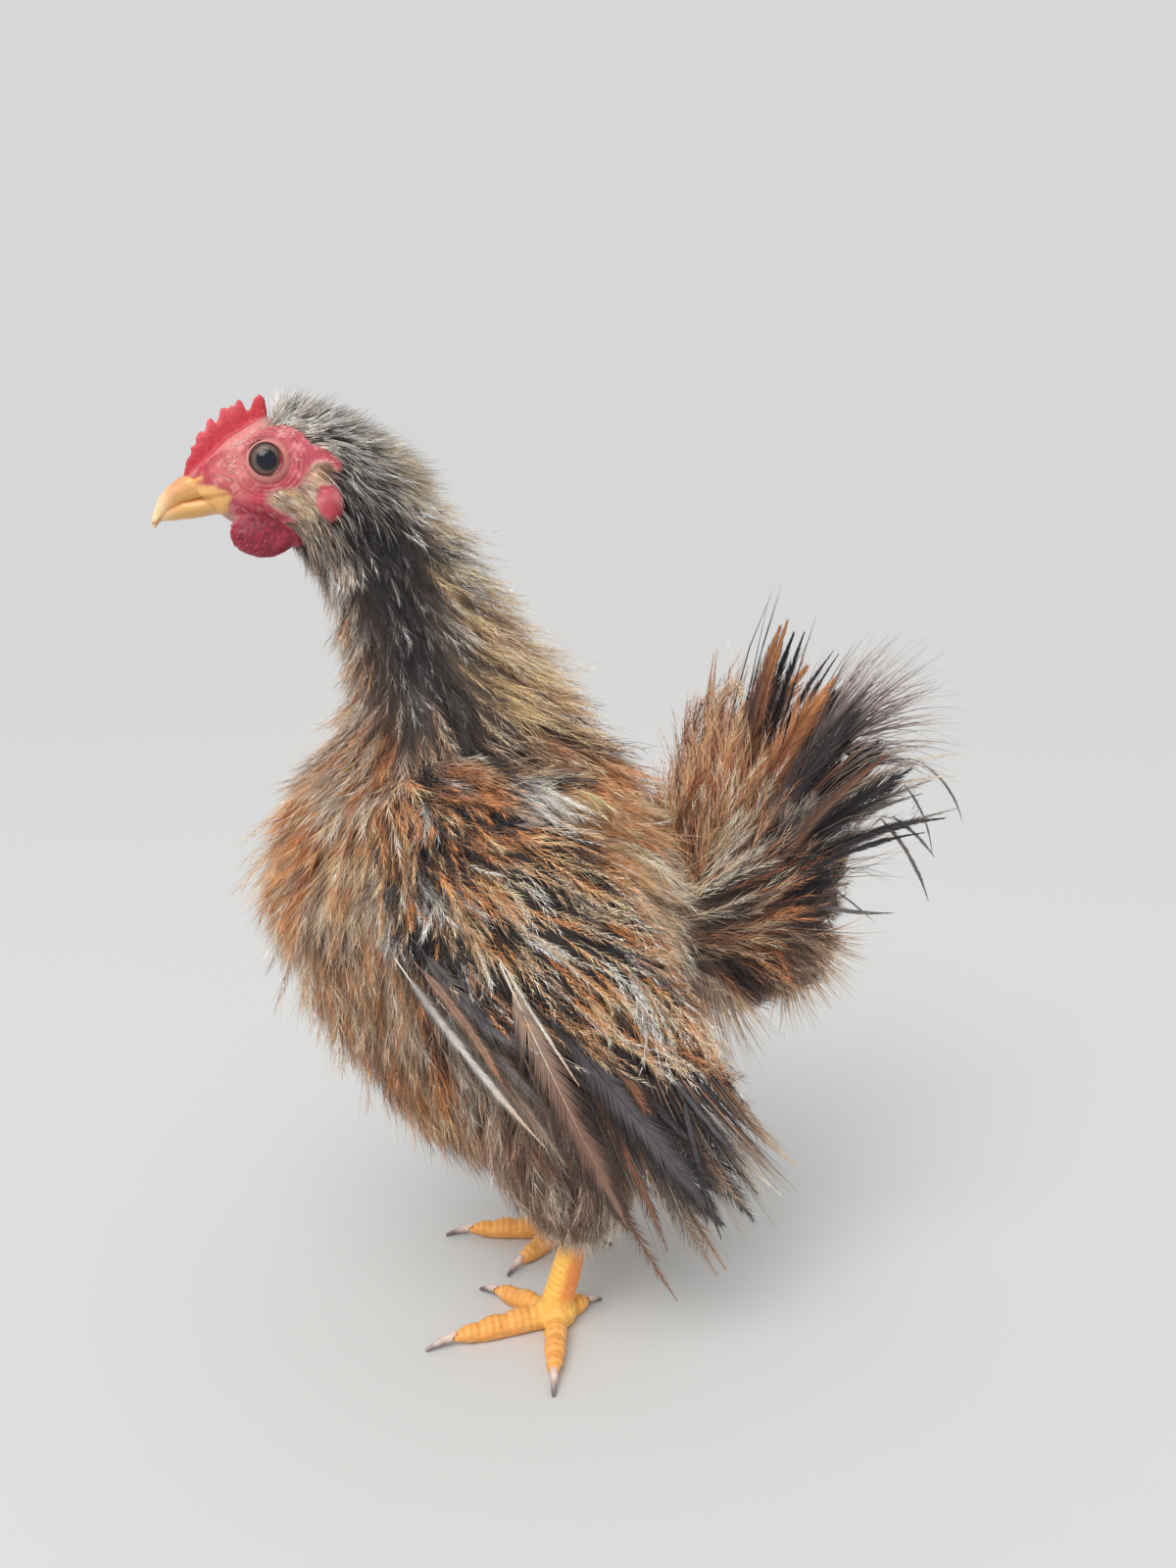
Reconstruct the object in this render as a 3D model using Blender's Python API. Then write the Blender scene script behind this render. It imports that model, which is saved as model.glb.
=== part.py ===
"""A young serama cockerel, standing, as one solid for each part that a person would name.

The bird faces -X and stands on z = 0, with its left side towards -Y. Sizes and places below are in
millimetres, measured from the point on the floor midway between its two feet. The empty named bird
then moves everything so that x = 0 is the middle of the bird's length.
"""

import math
from collections import namedtuple

import bmesh
import bpy
from mathutils import Matrix, Vector

MM = 0.001
GAP = 0.3
CENTRE_X = 9.0
LEFT = -1
RIGHT = 1
SIDES = {"left": LEFT, "right": RIGHT}

# The body's outline, ring by ring from the bill down to the belly: the point on the throat, breast
# or belly (x, z), the point on the crown, nape or back (x, z), and half of the width there.
HEAD_RINGS = (
    ((-79.0, 206.0), (-86.8, 213.8), 4.2),
    ((-76.8, 204.6), (-83.2, 217.4), 6.4),
    ((-73.8, 203.4), (-78.2, 222.4), 8.8),
    ((-69.8, 202.2), (-70.8, 227.0), 10.8),
    ((-65.8, 199.6), (-62.0, 230.4), 12.0),
    ((-61.8, 196.0), (-52.6, 228.6), 12.6),
    ((-58.8, 191.3), (-44.8, 224.2), 12.8),
)
HEAD_CUT = ((-56.3, 185.6), (-36.4, 217.4), 12.9)
NECK_RINGS = (
    ((-54.2, 179.0), (-28.0, 206.0), 13.6),
    ((-52.8, 170.0), (-19.5, 192.0), 15.0),
    ((-52.8, 162.5), (-11.0, 178.3), 17.6),
)
NECK_CUT = ((-55.5, 155.8), (-2.0, 165.8), 21.5)
TRUNK_RINGS = (
    ((-60.5, 147.5), (7.5, 152.6), 27.0),
    ((-66.0, 138.0), (18.0, 140.5), 32.0),
    ((-70.0, 128.0), (28.0, 129.0), 36.0),
    ((-72.8, 117.0), (35.0, 116.0), 38.5),
    ((-72.0, 105.5), (38.0, 102.0), 39.0),
    ((-66.5, 94.0), (38.0, 88.0), 37.5),
    ((-60.5, 81.0), (35.5, 75.0), 34.5),
    ((-52.5, 68.0), (31.0, 62.0), 30.5),
    ((-43.5, 55.0), (25.0, 51.0), 25.5),
    ((-32.0, 43.5), (18.0, 42.0), 19.0),
    ((-20.0, 37.5), (10.0, 37.0), 9.0),
)

# The eye: a ball with only its cap outside the face.
EYE_PLACE = (-68.3, 7.2, 217.0)
EYE_RADIUS = 5.0

# The bill, ring by ring from the face to the tip: lower edge (x, z), upper edge (x, z), half width.
UPPER_BILL_RINGS = (
    ((-77.5, 209.0), (-83.5, 214.6), 4.0),
    ((-84.0, 209.0), (-88.6, 213.6), 3.7),
    ((-88.1, 208.0), (-91.6, 211.5), 3.1),
    ((-91.4, 206.2), (-93.6, 209.1), 2.3),
    ((-93.5, 204.5), (-95.1, 206.2), 1.4),
    ((-94.9, 203.3), (-95.9, 203.7), 0.8),
    ((-95.4, 202.3), (-95.8, 202.4), 0.3),
)
LOWER_BILL_RINGS = (
    ((-75.5, 205.9), (-77.5, 209.6), 3.8),
    ((-82.4, 205.7), (-83.6, 209.2), 3.3),
    ((-87.3, 204.6), (-88.3, 208.0), 2.6),
    ((-91.0, 203.6), (-91.9, 205.6), 1.7),
    ((-93.2, 203.2), (-93.5, 204.0), 0.7),
)

# The comb's edge from the bill back over the forehead, point and valley in turn (x, z).
COMB_EDGE = (
    (-87.8, 214.4), (-87.6, 217.2), (-86.2, 219.2), (-86.3, 220.6), (-84.9, 221.2),
    (-85.2, 222.6), (-83.9, 224.4), (-82.9, 223.6), (-82.3, 227.0), (-81.2, 227.4),
    (-80.2, 225.2), (-79.2, 229.6), (-77.9, 229.7), (-77.4, 227.9), (-76.9, 230.7),
    (-75.9, 229.4), (-75.4, 231.7), (-74.4, 231.5), (-73.1, 228.2), (-71.4, 232.0),
    (-70.2, 233.0), (-69.2, 232.0), (-68.6, 227.5), (-72.0, 223.5), (-77.0, 219.0),
    (-82.0, 213.5),
)
COMB_HALF_THICKNESS = 1.3

# Soft skin of the face, as flattened balls: centre and the three radii.
WATTLE_PLACE = (-69.9, 4.6, 201.6)
WATTLE_RADII = (7.6, 1.9, 5.2)
EARLOBE_PLACE = (-54.8, 12.1, 207.0)
EARLOBE_RADII = (3.0, 1.7, 3.9)

# The thigh and its fluff, top to hem, about the leg's own line: front (x, z), back (x, z), half width.
THIGH_RINGS = (
    ((-22.0, 76.0), (17.0, 78.0), 12.0),
    ((-29.0, 64.0), (20.0, 66.0), 16.0),
    ((-27.0, 53.0), (20.0, 54.0), 17.0),
    ((-21.0, 43.0), (18.0, 43.0), 15.5),
    ((-14.5, 34.0), (14.5, 33.5), 12.0),
    ((-6.5, 26.8), (9.0, 26.2), 8.0),
)
THIGH_OUT = 21.0

# The leg: where each foot's centre meets the floor, and the shank's rings as (height, lean back
# from the foot's centre, half depth, half width).
FOOT_PLACE = {"left": (-4.2, -21.4), "right": (3.8, 18.8)}
SHANK_RINGS = (
    (4.0, -0.6, 4.6, 4.4),
    (9.0, 1.0, 4.2, 3.8),
    (20.0, 4.0, 3.8, 3.3),
    (33.0, 8.0, 3.9, 3.4),
    (42.0, 10.8, 4.8, 4.2),
    (48.0, 12.2, 4.2, 3.8),
)
FOOT_BALL_RADII = (5.4, 5.2, 4.4)
FOOT_BALL_HEIGHT = 3.4

# Each toe: the direction it points, outwards from straight ahead, its length to the root of the
# claw, its number of pads, its root and end radii, and the claw's length.
Toe = namedtuple("Toe", "turn length pads root_radius end_radius claw")
TOES = {
    "inner": Toe(-44.0, 20.0, 3, 2.9, 2.2, 5.4),
    "middle": Toe(10.0, 27.5, 4, 3.3, 2.3, 6.8),
    "outer": Toe(80.0, 23.0, 4, 3.0, 2.2, 5.4),
    "hallux": Toe(-150.0, 10.5, 2, 2.6, 2.1, 4.6),
}
PAD_BULGE = 0.45
TOE_SINK = 0.25
TOE_RINGS_PER_PAD = 3

# The wing's coverts from the shoulder down to the flight feathers: front edge (x, out, z), back
# edge (x, out, z) and half thickness, where out is the distance from the bird's midline.
WING_RINGS = (
    ((-43.0, 25.0, 139.0), (-37.0, 26.0, 144.0), 2.5),
    ((-49.0, 28.0, 131.0), (-26.0, 31.0, 147.5), 6.0),
    ((-47.5, 31.0, 120.0), (-8.0, 35.0, 139.0), 8.0),
    ((-42.5, 34.0, 107.0), (7.0, 36.0, 125.0), 8.5),
    ((-32.0, 36.5, 94.5), (19.0, 36.5, 107.0), 8.2),
    ((-17.0, 38.0, 83.0), (28.0, 36.5, 89.0), 7.0),
    ((-8.5, 38.5, 70.0), (34.0, 36.0, 74.0), 5.5),
    ((1.5, 38.5, 57.0), (38.0, 35.5, 61.0), 3.6),
    ((11.0, 38.0, 48.0), (41.0, 35.0, 52.0), 1.6),
)
# The flight feathers: root (x, out, z), tip (x, out, z) and half width.
FLIGHT_FEATHERS = (
    ((-31.0, 41.5, 98.0), (10.0, 41.5, 41.5), 5.0),
    ((-22.0, 40.5, 92.0), (22.0, 40.5, 19.5), 3.6),
    ((-14.0, 40.0, 88.0), (29.0, 39.5, 30.0), 5.2),
    ((-6.0, 39.0, 86.0), (38.5, 38.5, 26.8), 5.2),
    ((2.0, 38.5, 86.0), (45.0, 37.5, 36.0), 5.2),
    ((8.0, 37.5, 90.0), (53.0, 36.0, 42.0), 5.4),
    ((14.0, 36.5, 94.0), (48.0, 34.5, 54.0), 5.4),
)

# The tail's coverts and the fluff below them, from inside the rump up to the feathers: lower or
# rear point (x, z), front point (x, z), half width.
TAIL_RINGS = (
    ((48.0, 84.0), (16.0, 112.0), 21.0),
    ((64.0, 81.0), (24.0, 124.0), 21.0),
    ((74.0, 91.0), (31.0, 134.0), 18.5),
    ((78.0, 107.0), (33.5, 145.0), 14.5),
    ((81.0, 122.0), (36.0, 155.0), 10.5),
    ((82.0, 136.0), (45.0, 161.0), 6.5),
    ((76.0, 148.0), (58.0, 159.0), 2.5),
)
VENT_PLACE = (51.0, 0.0, 91.5)
VENT_RADII = (22.0, 19.0, 13.5)
# The tail feathers stand in two fans that start at one root, each feather steeper than the next.
TAIL_ROOT = (52.0, 3.4, 108.0)
TAIL_STEEPEST = 99.0
TAIL_FLATTEST = 14.0
TAIL_FEATHERS_A_SIDE = 9
TAIL_SPREAD = 12.0
TAIL_HALF_WIDTH = 4.6
TAIL_DROOP = 6.0
# How long the tail feathers are, root to tip, at each steepness in degrees.
TAIL_LENGTHS = (
    (14.0, 50.0), (30.0, 62.0), (38.0, 75.0), (64.0, 78.0), (82.0, 72.0), (92.0, 59.0), (99.0, 62.0)
)

FEATHER_HALF_THICKNESS = 0.5
# A feather's width along its length, as a share of its full width.
FEATHER_SHAPE = ((0.0, 0.6), (0.3, 1.0), (0.6, 0.95), (0.85, 0.62), (1.0, 0.14))

COLOURS = {
    "feather": (0.42, 0.22, 0.10),
    "dark_feather": (0.10, 0.08, 0.07),
    "down": (0.32, 0.23, 0.16),
    "face": (0.55, 0.10, 0.09),
    "horn": (0.75, 0.45, 0.18),
    "leg": (0.75, 0.38, 0.08),
    "claw": (0.50, 0.42, 0.38),
    "eye": (0.03, 0.02, 0.02),
}

# A ring's plane: its middle, and the half axes that lie along its height and its width.
Ring = namedtuple("Ring", "centre tall wide")


def clear_scene():
    """Remove whatever objects the open file holds."""
    for item in list(bpy.data.objects):
        bpy.data.objects.remove(item, do_unlink=True)


def make_materials():
    """Give each kind of surface its own plain material."""
    made = {}
    for name, colour in COLOURS.items():
        material = bpy.data.materials.new(name)
        material.use_nodes = True
        shader = material.node_tree.nodes["Principled BSDF"]
        shader.inputs["Base Color"].default_value = (*colour, 1.0)
        shader.inputs["Roughness"].default_value = 0.15 if name == "eye" else 0.75
        made[name] = material
    return made


def ring_across(front, back, half_width):
    """A ring through two points, each (x, z) on the midline or (x, y, z), as wide as half_width."""
    ends = [Vector(p) if len(p) == 3 else Vector((p[0], 0.0, p[1])) for p in (front, back)]
    tall = (ends[1] - ends[0]) / 2
    along = tall.normalized()
    wide = Vector((0.0, 1.0, 0.0))
    wide = (wide - along * along.y).normalized() * half_width
    return Ring((ends[0] + ends[1]) / 2, tall, wide)


def grown(ring, amount):
    """The same ring with both half axes longer by amount."""
    tall = ring.tall + ring.tall.normalized() * amount
    wide = ring.wide + ring.wide.normalized() * amount
    return Ring(ring.centre, tall, wide)


def shifted(ring, distance):
    """The same ring moved square to its plane, towards the bird's head where distance is positive."""
    square = ring.tall.cross(ring.wide).normalized()
    return Ring(ring.centre + square * distance, ring.tall, ring.wide)


def placed(name, bm, material, parent):
    """Turn a bmesh in millimetres into a smooth-shaded object under the bird's empty."""
    bmesh.ops.recalc_face_normals(bm, faces=bm.faces)
    bmesh.ops.scale(bm, vec=(MM, MM, MM), verts=bm.verts)
    mesh = bpy.data.meshes.new(name)
    bm.to_mesh(mesh)
    bm.free()
    mesh.shade_smooth()
    mesh.set_sharp_from_angle(angle=math.radians(50))
    mesh.materials.append(material)
    item = bpy.data.objects.new(name, mesh)
    bpy.context.collection.objects.link(item)
    item.parent = parent
    return item


def loft(name, rings, material, parent, segments=24, grow=0.0):
    """A closed solid through rings, with a flat cap at each end."""
    bm = bmesh.new()
    loops = []
    last = len(rings) - 1
    for index, ring in enumerate(rings):
        ring = grown(ring, grow) if grow else ring
        end_push = grow * ((index == 0) - (index == last))
        ring = shifted(ring, end_push)
        frame = Matrix((ring.tall, ring.wide, ring.tall.cross(ring.wide).normalized())).transposed()
        frame = Matrix.Translation(ring.centre) @ frame.to_4x4()
        made = bmesh.ops.create_circle(
            bm, cap_ends=index in (0, last), segments=segments, radius=1.0, matrix=frame
        )
        loops.append(list({edge for vert in made["verts"] for edge in vert.link_edges}))
    for upper, lower in zip(loops, loops[1:]):
        bmesh.ops.bridge_loops(bm, edges=upper + lower)
    return placed(name, bm, material, parent)


def ball(name, centre, radii, material, parent, grow=0.0, detail=(14, 8)):
    """A ball stretched to three radii."""
    bm = bmesh.new()
    size = Matrix.Diagonal([radius + grow for radius in radii]).to_4x4()
    bmesh.ops.create_uvsphere(
        bm, u_segments=detail[0], v_segments=detail[1], radius=1.0,
        matrix=Matrix.Translation(centre) @ size,
    )
    return placed(name, bm, material, parent)


def combine(target, operation, others, solver="EXACT"):
    """Join others to target, or cut them out of it, with a Boolean for each."""
    for other in others:
        step = target.modifiers.new(f"{operation.lower()} {other.name}", "BOOLEAN")
        step.operation = operation
        step.solver = solver
        step.object = other
        other.hide_render = True
        other.display_type = "WIRE"
    return target


def between(low, high, share):
    """The value that lies share of the way from low to high."""
    return low + (high - low) * share


def read_curve(points, at):
    """The height at a place on a line through (place, height) points."""
    for (start, low), (end, high) in zip(points, points[1:]):
        if at <= end:
            return between(low, high, (at - start) / (end - start))
    return points[-1][1]


def mirrored(point, side):
    """A point given as (x, out, z), on the left or the right of the bird."""
    return Vector((point[0], point[1] * side, point[2]))


def feather(name, root, tip, half_width, material, parent, droop=0.0):
    """One flat feather from root to tip, its middle raised by droop so that the tip hangs over."""
    root = Vector(root)
    tip = Vector(tip)
    rings = []
    for share, width in FEATHER_SHAPE:
        centre = root.lerp(tip, share)
        centre.z += droop * 4 * share * (1 - share)
        along = tip - root
        along.z += droop * 4 * (1 - 2 * share)
        along.normalize()
        thick = Vector((0.0, 1.0, 0.0))
        thick = (thick - along * along.y).normalized()
        across = along.cross(thick)
        rings.append(Ring(centre, across * half_width * width, thick * FEATHER_HALF_THICKNESS))
    return loft(name, rings, material, parent, segments=4)


def build_body(materials, bird):
    """Head, neck and trunk as one outline parted by two thin cuts."""
    head_cut = ring_across(*HEAD_CUT)
    neck_cut = ring_across(*NECK_CUT)
    head = [ring_across(*ring) for ring in HEAD_RINGS] + [shifted(head_cut, GAP / 2)]
    neck = [ring_across(*ring) for ring in NECK_RINGS]
    neck = [shifted(head_cut, -GAP / 2)] + neck + [shifted(neck_cut, GAP / 2)]
    trunk = [shifted(neck_cut, -GAP / 2)] + [ring_across(*ring) for ring in TRUNK_RINGS]
    solids = {
        "head": loft("head", head, materials["face"], bird),
        "neck": loft("neck", neck, materials["down"], bird),
        "trunk": loft("trunk", trunk, materials["feather"], bird),
    }
    clearances = {
        "head": loft("head_clearance", head, materials["face"], bird, grow=GAP),
        "trunk": loft("trunk_clearance", trunk, materials["feather"], bird, grow=GAP),
    }
    return solids, clearances


def build_eyes(head, materials, bird):
    """An eyeball on each side, and its socket in the head."""
    for word, side in SIDES.items():
        place = mirrored(EYE_PLACE, side)
        radii = (EYE_RADIUS,) * 3
        ball(f"eye_{word}", place, radii, materials["eye"], bird)
        socket = ball(f"eye_socket_{word}", place, radii, materials["eye"], bird, grow=GAP)
        combine(head, "DIFFERENCE", [socket])


def build_bill(head_clearance, materials, bird):
    """The hooked upper half of the bill, and the lower half that closes under it."""
    upper_rings = [ring_across(*ring) for ring in UPPER_BILL_RINGS]
    lower_rings = [ring_across(*ring) for ring in LOWER_BILL_RINGS]
    upper = loft("bill_upper", upper_rings, materials["horn"], bird, segments=14)
    room = loft("bill_upper_clearance", upper_rings, materials["horn"], bird, 14, GAP)
    lower = loft("bill_lower", lower_rings, materials["horn"], bird, segments=14)
    combine(upper, "DIFFERENCE", [head_clearance])
    combine(lower, "DIFFERENCE", [head_clearance, room])


def build_comb(head_clearance, materials, bird):
    """The single comb: one thin notched blade that follows the forehead."""
    bm = bmesh.new()
    edge = [bm.verts.new((x, -COMB_HALF_THICKNESS, z)) for x, z in COMB_EDGE]
    face = bm.faces.new(edge)
    swept = bmesh.ops.extrude_face_region(bm, geom=[face])
    far_side = [part for part in swept["geom"] if isinstance(part, bmesh.types.BMVert)]
    bmesh.ops.translate(bm, vec=(0.0, 2 * COMB_HALF_THICKNESS, 0.0), verts=far_side)
    comb = placed("comb", bm, materials["face"], bird)
    combine(comb, "DIFFERENCE", [head_clearance])


def build_face_skin(head_clearance, materials, bird):
    """The wattles under the jaw and the lobes under the ears."""
    for word, side in SIDES.items():
        wattle = ball(
            f"wattle_{word}", mirrored(WATTLE_PLACE, side), WATTLE_RADII, materials["face"], bird
        )
        lobe = ball(
            f"earlobe_{word}", mirrored(EARLOBE_PLACE, side), EARLOBE_RADII, materials["face"], bird
        )
        combine(wattle, "DIFFERENCE", [head_clearance])
        combine(lobe, "DIFFERENCE", [head_clearance])


def shank_rings(word):
    """The shank's level rings above one foot."""
    foot_x, foot_y = FOOT_PLACE[word]
    rings = []
    for height, lean, half_depth, half_width in SHANK_RINGS:
        centre = Vector((foot_x + lean, foot_y, height))
        rings.append(Ring(centre, Vector((half_depth, 0, 0)), Vector((0, -half_width, 0))))
    return rings


def toe_rings(toe, centre, side):
    """A toe's rings from the ball of the foot to the root of its claw."""
    turn = math.radians(toe.turn) * side
    ahead = Vector((-math.cos(turn), math.sin(turn), 0.0))
    across = Vector((-ahead.y, ahead.x, 0.0))
    count = toe.pads * TOE_RINGS_PER_PAD
    rings = []
    for index in range(count + 1):
        share = index / count
        radius = between(toe.root_radius, toe.end_radius, share)
        bulge = PAD_BULGE * abs(math.sin(math.pi * toe.pads * share))
        end_taper = math.sqrt(max(0.16, 1 - max(0.0, share * 1.12 - 0.72) ** 2 / 0.16))
        half = (radius + bulge) * end_taper
        height = radius + bulge - TOE_SINK
        middle = centre + ahead * toe.length * share + Vector((0, 0, height))
        rings.append(Ring(middle, Vector((0, 0, half)), across * half * 0.95))
    return rings


def claw_rings(toe, centre, side):
    """A claw's rings, from inside the toe's end to a point that curves down to the floor."""
    turn = math.radians(toe.turn) * side
    ahead = Vector((-math.cos(turn), math.sin(turn), 0.0))
    across = Vector((-ahead.y, ahead.x, 0.0))
    rings = []
    for share in (0.0, 0.25, 0.5, 0.75, 1.0):
        reach = toe.length - 2.4 + (toe.claw + 2.4) * share
        height = between(toe.end_radius + 0.5, 0.5, share ** 1.8)
        half = between(1.5, 0.3, share)
        middle = centre + ahead * reach + Vector((0, 0, height))
        rings.append(Ring(middle, Vector((0, 0, half)), across * half * 0.8))
    return rings


def build_leg(word, floor, materials, bird):
    """A shank, its foot with four toes, and the claw of each toe."""
    side = SIDES[word]
    centre = Vector((*FOOT_PLACE[word], 0.0))
    rings = shank_rings(word)
    loft(f"shank_{word}", rings, materials["leg"], bird, segments=16)
    shank_room = loft(f"shank_clearance_{word}", rings, materials["leg"], bird, 16, GAP)
    ball_place = centre + Vector((0, 0, FOOT_BALL_HEIGHT))
    foot = ball(f"foot_{word}", ball_place, FOOT_BALL_RADII, materials["leg"], bird)
    toes = {}
    for name, toe in TOES.items():
        rings = toe_rings(toe, centre, side)
        toes[name] = loft(f"toe_{word}_{name}", rings, materials["leg"], bird, segments=8)
        room = loft(f"toe_clearance_{word}_{name}", rings, materials["leg"], bird, 8, GAP)
        claw = loft(
            f"claw_{word}_{name}", claw_rings(toe, centre, side), materials["claw"], bird, segments=6
        )
        combine(claw, "DIFFERENCE", [room])
    combine(foot, "UNION", toes.values())
    combine(foot, "DIFFERENCE", [shank_room, floor])
    return shank_room


def build_thigh(word, shank_room, trunk_clearance, materials, bird):
    """The fluffy thigh below the trunk, with the shank running up into it."""
    hip_y = THIGH_OUT * SIDES[word]
    foot_x, foot_y = FOOT_PLACE[word]
    step_x = foot_x - FOOT_PLACE["left"][0]
    rings = []
    for index, (front, back, half_width) in enumerate(THIGH_RINGS):
        down = index / (len(THIGH_RINGS) - 1)
        out = between(hip_y, foot_y, down)
        ends = [(end[0] + step_x * down, out, end[1]) for end in (front, back)]
        rings.append(ring_across(*ends, half_width))
    thigh = loft(f"thigh_{word}", rings, materials["down"], bird, segments=18)
    room = loft(f"thigh_clearance_{word}", rings, materials["down"], bird, 18, GAP)
    combine(thigh, "DIFFERENCE", [trunk_clearance, shank_room])
    return room


def build_wing(word, clearances, materials, bird):
    """The folded wing: its coverts and the flight feathers that hang past them."""
    side = SIDES[word]
    rings = []
    for front, back, half_thickness in WING_RINGS:
        rings.append(ring_across(mirrored(front, side), mirrored(back, side), half_thickness))
    wing = loft(f"wing_{word}", rings, materials["feather"], bird, segments=20)
    blades = []
    for index, (root, tip, half_width) in enumerate(FLIGHT_FEATHERS):
        blades.append(
            feather(
                f"flight_feather_{word}_{index}", mirrored(root, side), mirrored(tip, side),
                half_width, materials["dark_feather"], bird,
            )
        )
    combine(wing, "UNION", blades)
    combine(wing, "DIFFERENCE", clearances)
    return wing


def build_tail(trunk_clearance, materials, bird):
    """The upright tail: coverts, the fluff under them, and two fans of feathers."""
    rings = [ring_across(*ring) for ring in TAIL_RINGS]
    tail = loft("tail", rings, materials["dark_feather"], bird, segments=20)
    vent = ball("vent_fluff", VENT_PLACE, VENT_RADII, materials["down"], bird)
    blades = []
    for word, side in SIDES.items():
        for index in range(TAIL_FEATHERS_A_SIDE):
            step = (index + 0.5 * (side == RIGHT)) / (TAIL_FEATHERS_A_SIDE - 0.5)
            steep = between(TAIL_STEEPEST, TAIL_FLATTEST, step)
            length = read_curve(TAIL_LENGTHS, steep)
            angle = math.radians(steep)
            root = mirrored(TAIL_ROOT, side)
            reach = Vector((math.cos(angle) * length, 0.0, math.sin(angle) * length))
            tip = root + reach
            tip.y = TAIL_SPREAD * side * (0.5 + 0.5 * math.sin(math.pi * step))
            blades.append(
                feather(
                    f"tail_feather_{word}_{index}", root, tip, TAIL_HALF_WIDTH,
                    materials["dark_feather"], bird, droop=TAIL_DROOP * (1 - steep / 100),
                )
            )
    combine(tail, "UNION", [vent] + blades, solver="MANIFOLD")
    combine(tail, "DIFFERENCE", [trunk_clearance])


def build_floor(materials, bird):
    """The block under z = 0 that cuts the soles flat."""
    bm = bmesh.new()
    bmesh.ops.create_cube(bm, size=200.0, matrix=Matrix.Translation((0, 0, -100)))
    return placed("floor_level", bm, materials["leg"], bird)


def main():
    clear_scene()
    materials = make_materials()
    bird = bpy.data.objects.new("bird", None)
    bpy.context.collection.objects.link(bird)
    bird.location.x = -CENTRE_X * MM
    floor = build_floor(materials, bird)
    solids, clearances = build_body(materials, bird)
    build_eyes(solids["head"], materials, bird)
    build_bill(clearances["head"], materials, bird)
    build_comb(clearances["head"], materials, bird)
    build_face_skin(clearances["head"], materials, bird)
    for word in SIDES:
        shank_room = build_leg(word, floor, materials, bird)
        combine(solids["trunk"], "DIFFERENCE", [shank_room])
        thigh_room = build_thigh(word, shank_room, clearances["trunk"], materials, bird)
        build_wing(word, [clearances["trunk"], thigh_room], materials, bird)
    build_tail(clearances["trunk"], materials, bird)


main()
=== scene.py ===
import math
from dataclasses import dataclass
from functools import cache

import bmesh
import bpy
import numpy as np
from bpy.props import FloatProperty, FloatVectorProperty, PointerProperty
from mathutils import Matrix, Vector, noise
from mathutils.bvhtree import BVHTree


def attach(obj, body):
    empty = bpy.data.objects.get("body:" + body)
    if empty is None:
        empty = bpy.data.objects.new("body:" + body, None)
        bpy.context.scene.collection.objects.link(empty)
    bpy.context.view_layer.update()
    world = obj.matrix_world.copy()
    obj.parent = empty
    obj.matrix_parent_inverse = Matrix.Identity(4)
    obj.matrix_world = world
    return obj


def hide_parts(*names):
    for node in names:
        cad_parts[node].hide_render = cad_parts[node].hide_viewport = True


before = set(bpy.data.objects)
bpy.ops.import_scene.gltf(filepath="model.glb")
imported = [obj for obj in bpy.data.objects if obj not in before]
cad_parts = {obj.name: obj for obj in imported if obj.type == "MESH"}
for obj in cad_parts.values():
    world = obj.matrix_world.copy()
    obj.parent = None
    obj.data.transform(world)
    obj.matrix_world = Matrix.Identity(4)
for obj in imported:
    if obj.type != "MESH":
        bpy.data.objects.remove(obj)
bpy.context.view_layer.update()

bl_info = {
    "name": "Serama cockerel",
    "version": (1, 0, 0),
    "blender": (4, 5, 0),
    "location": "3D View > Sidebar > Serama",
    "description": "Skin, bill, eyes, claws and plumage of a life-size young serama cockerel",
    "category": "Object",
}

# Sizes are in millimetres unless their name says otherwise. The bird faces -X, its left side is towards -Y.
# A place is (x, out, z), where out is the distance from the middle plane, the same on both sides.

MM = 0.001
SEED = 20
TUFT_PATCH = 0.003

HEAD_FLESH = ("head", "comb", "wattle_left", "wattle_right", "earlobe_left", "earlobe_right")
FLESH = HEAD_FLESH + ("neck", "trunk", "tail", "wing_left", "wing_right", "thigh_left", "thigh_right",
                      "shank_left", "shank_right", "foot_left", "foot_right")
SIDES = {"left": -1, "right": 1}

EYE_CENTRE = (-77.3, 7.2, 217.0)
EYE_RADIUS = 5.0
PUPIL_RADIUS = 2.35
IRIS_RADIUS = 3.5
FOLD_START = 5.6
FOLD_SPACING = 1.05
HEAD_HAIRS = 17500

# Lines on the side of the head, each from one place to another
NOSTRIL_FLAP = ((-95.6, 3.2, 212.4), (-93.0, 3.6, 213.6))
NOSTRIL_SLIT = ((-95.4, 3.4, 211.5), (-92.4, 3.9, 213.2))
NOSTRIL_RIM = ((-95.4, 3, 212.3), (-93.0, 4, 213.2))
CHEEK_CREASE = ((-92.0, 4, 209.3), (-86.4, 6, 209.4))

# Large feathers: points along a shaft, and the lean, spacing and width of the barbs in a vane
SHAFT_POINTS = 9
VANE_BARB_ANGLE = 24.0
VANE_BARB_SPACING = 0.42
VANE_BARB_WIDTH = 0.5

# The lamps point at this place, in metres
LAMP_TARGET = (-0.02, 0, 0.12)

# The camera: its place in metres, its tilt and turn in degrees, and the photo's size and lens in its pixels
CAMERA_PLACE = (-0.0534, -0.2962, 0.190)
CAMERA_TILT = 80.2
CAMERA_TURN = -10
PHOTO_HEIGHT = 1600
FOCAL_LENGTH = 1202

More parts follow.
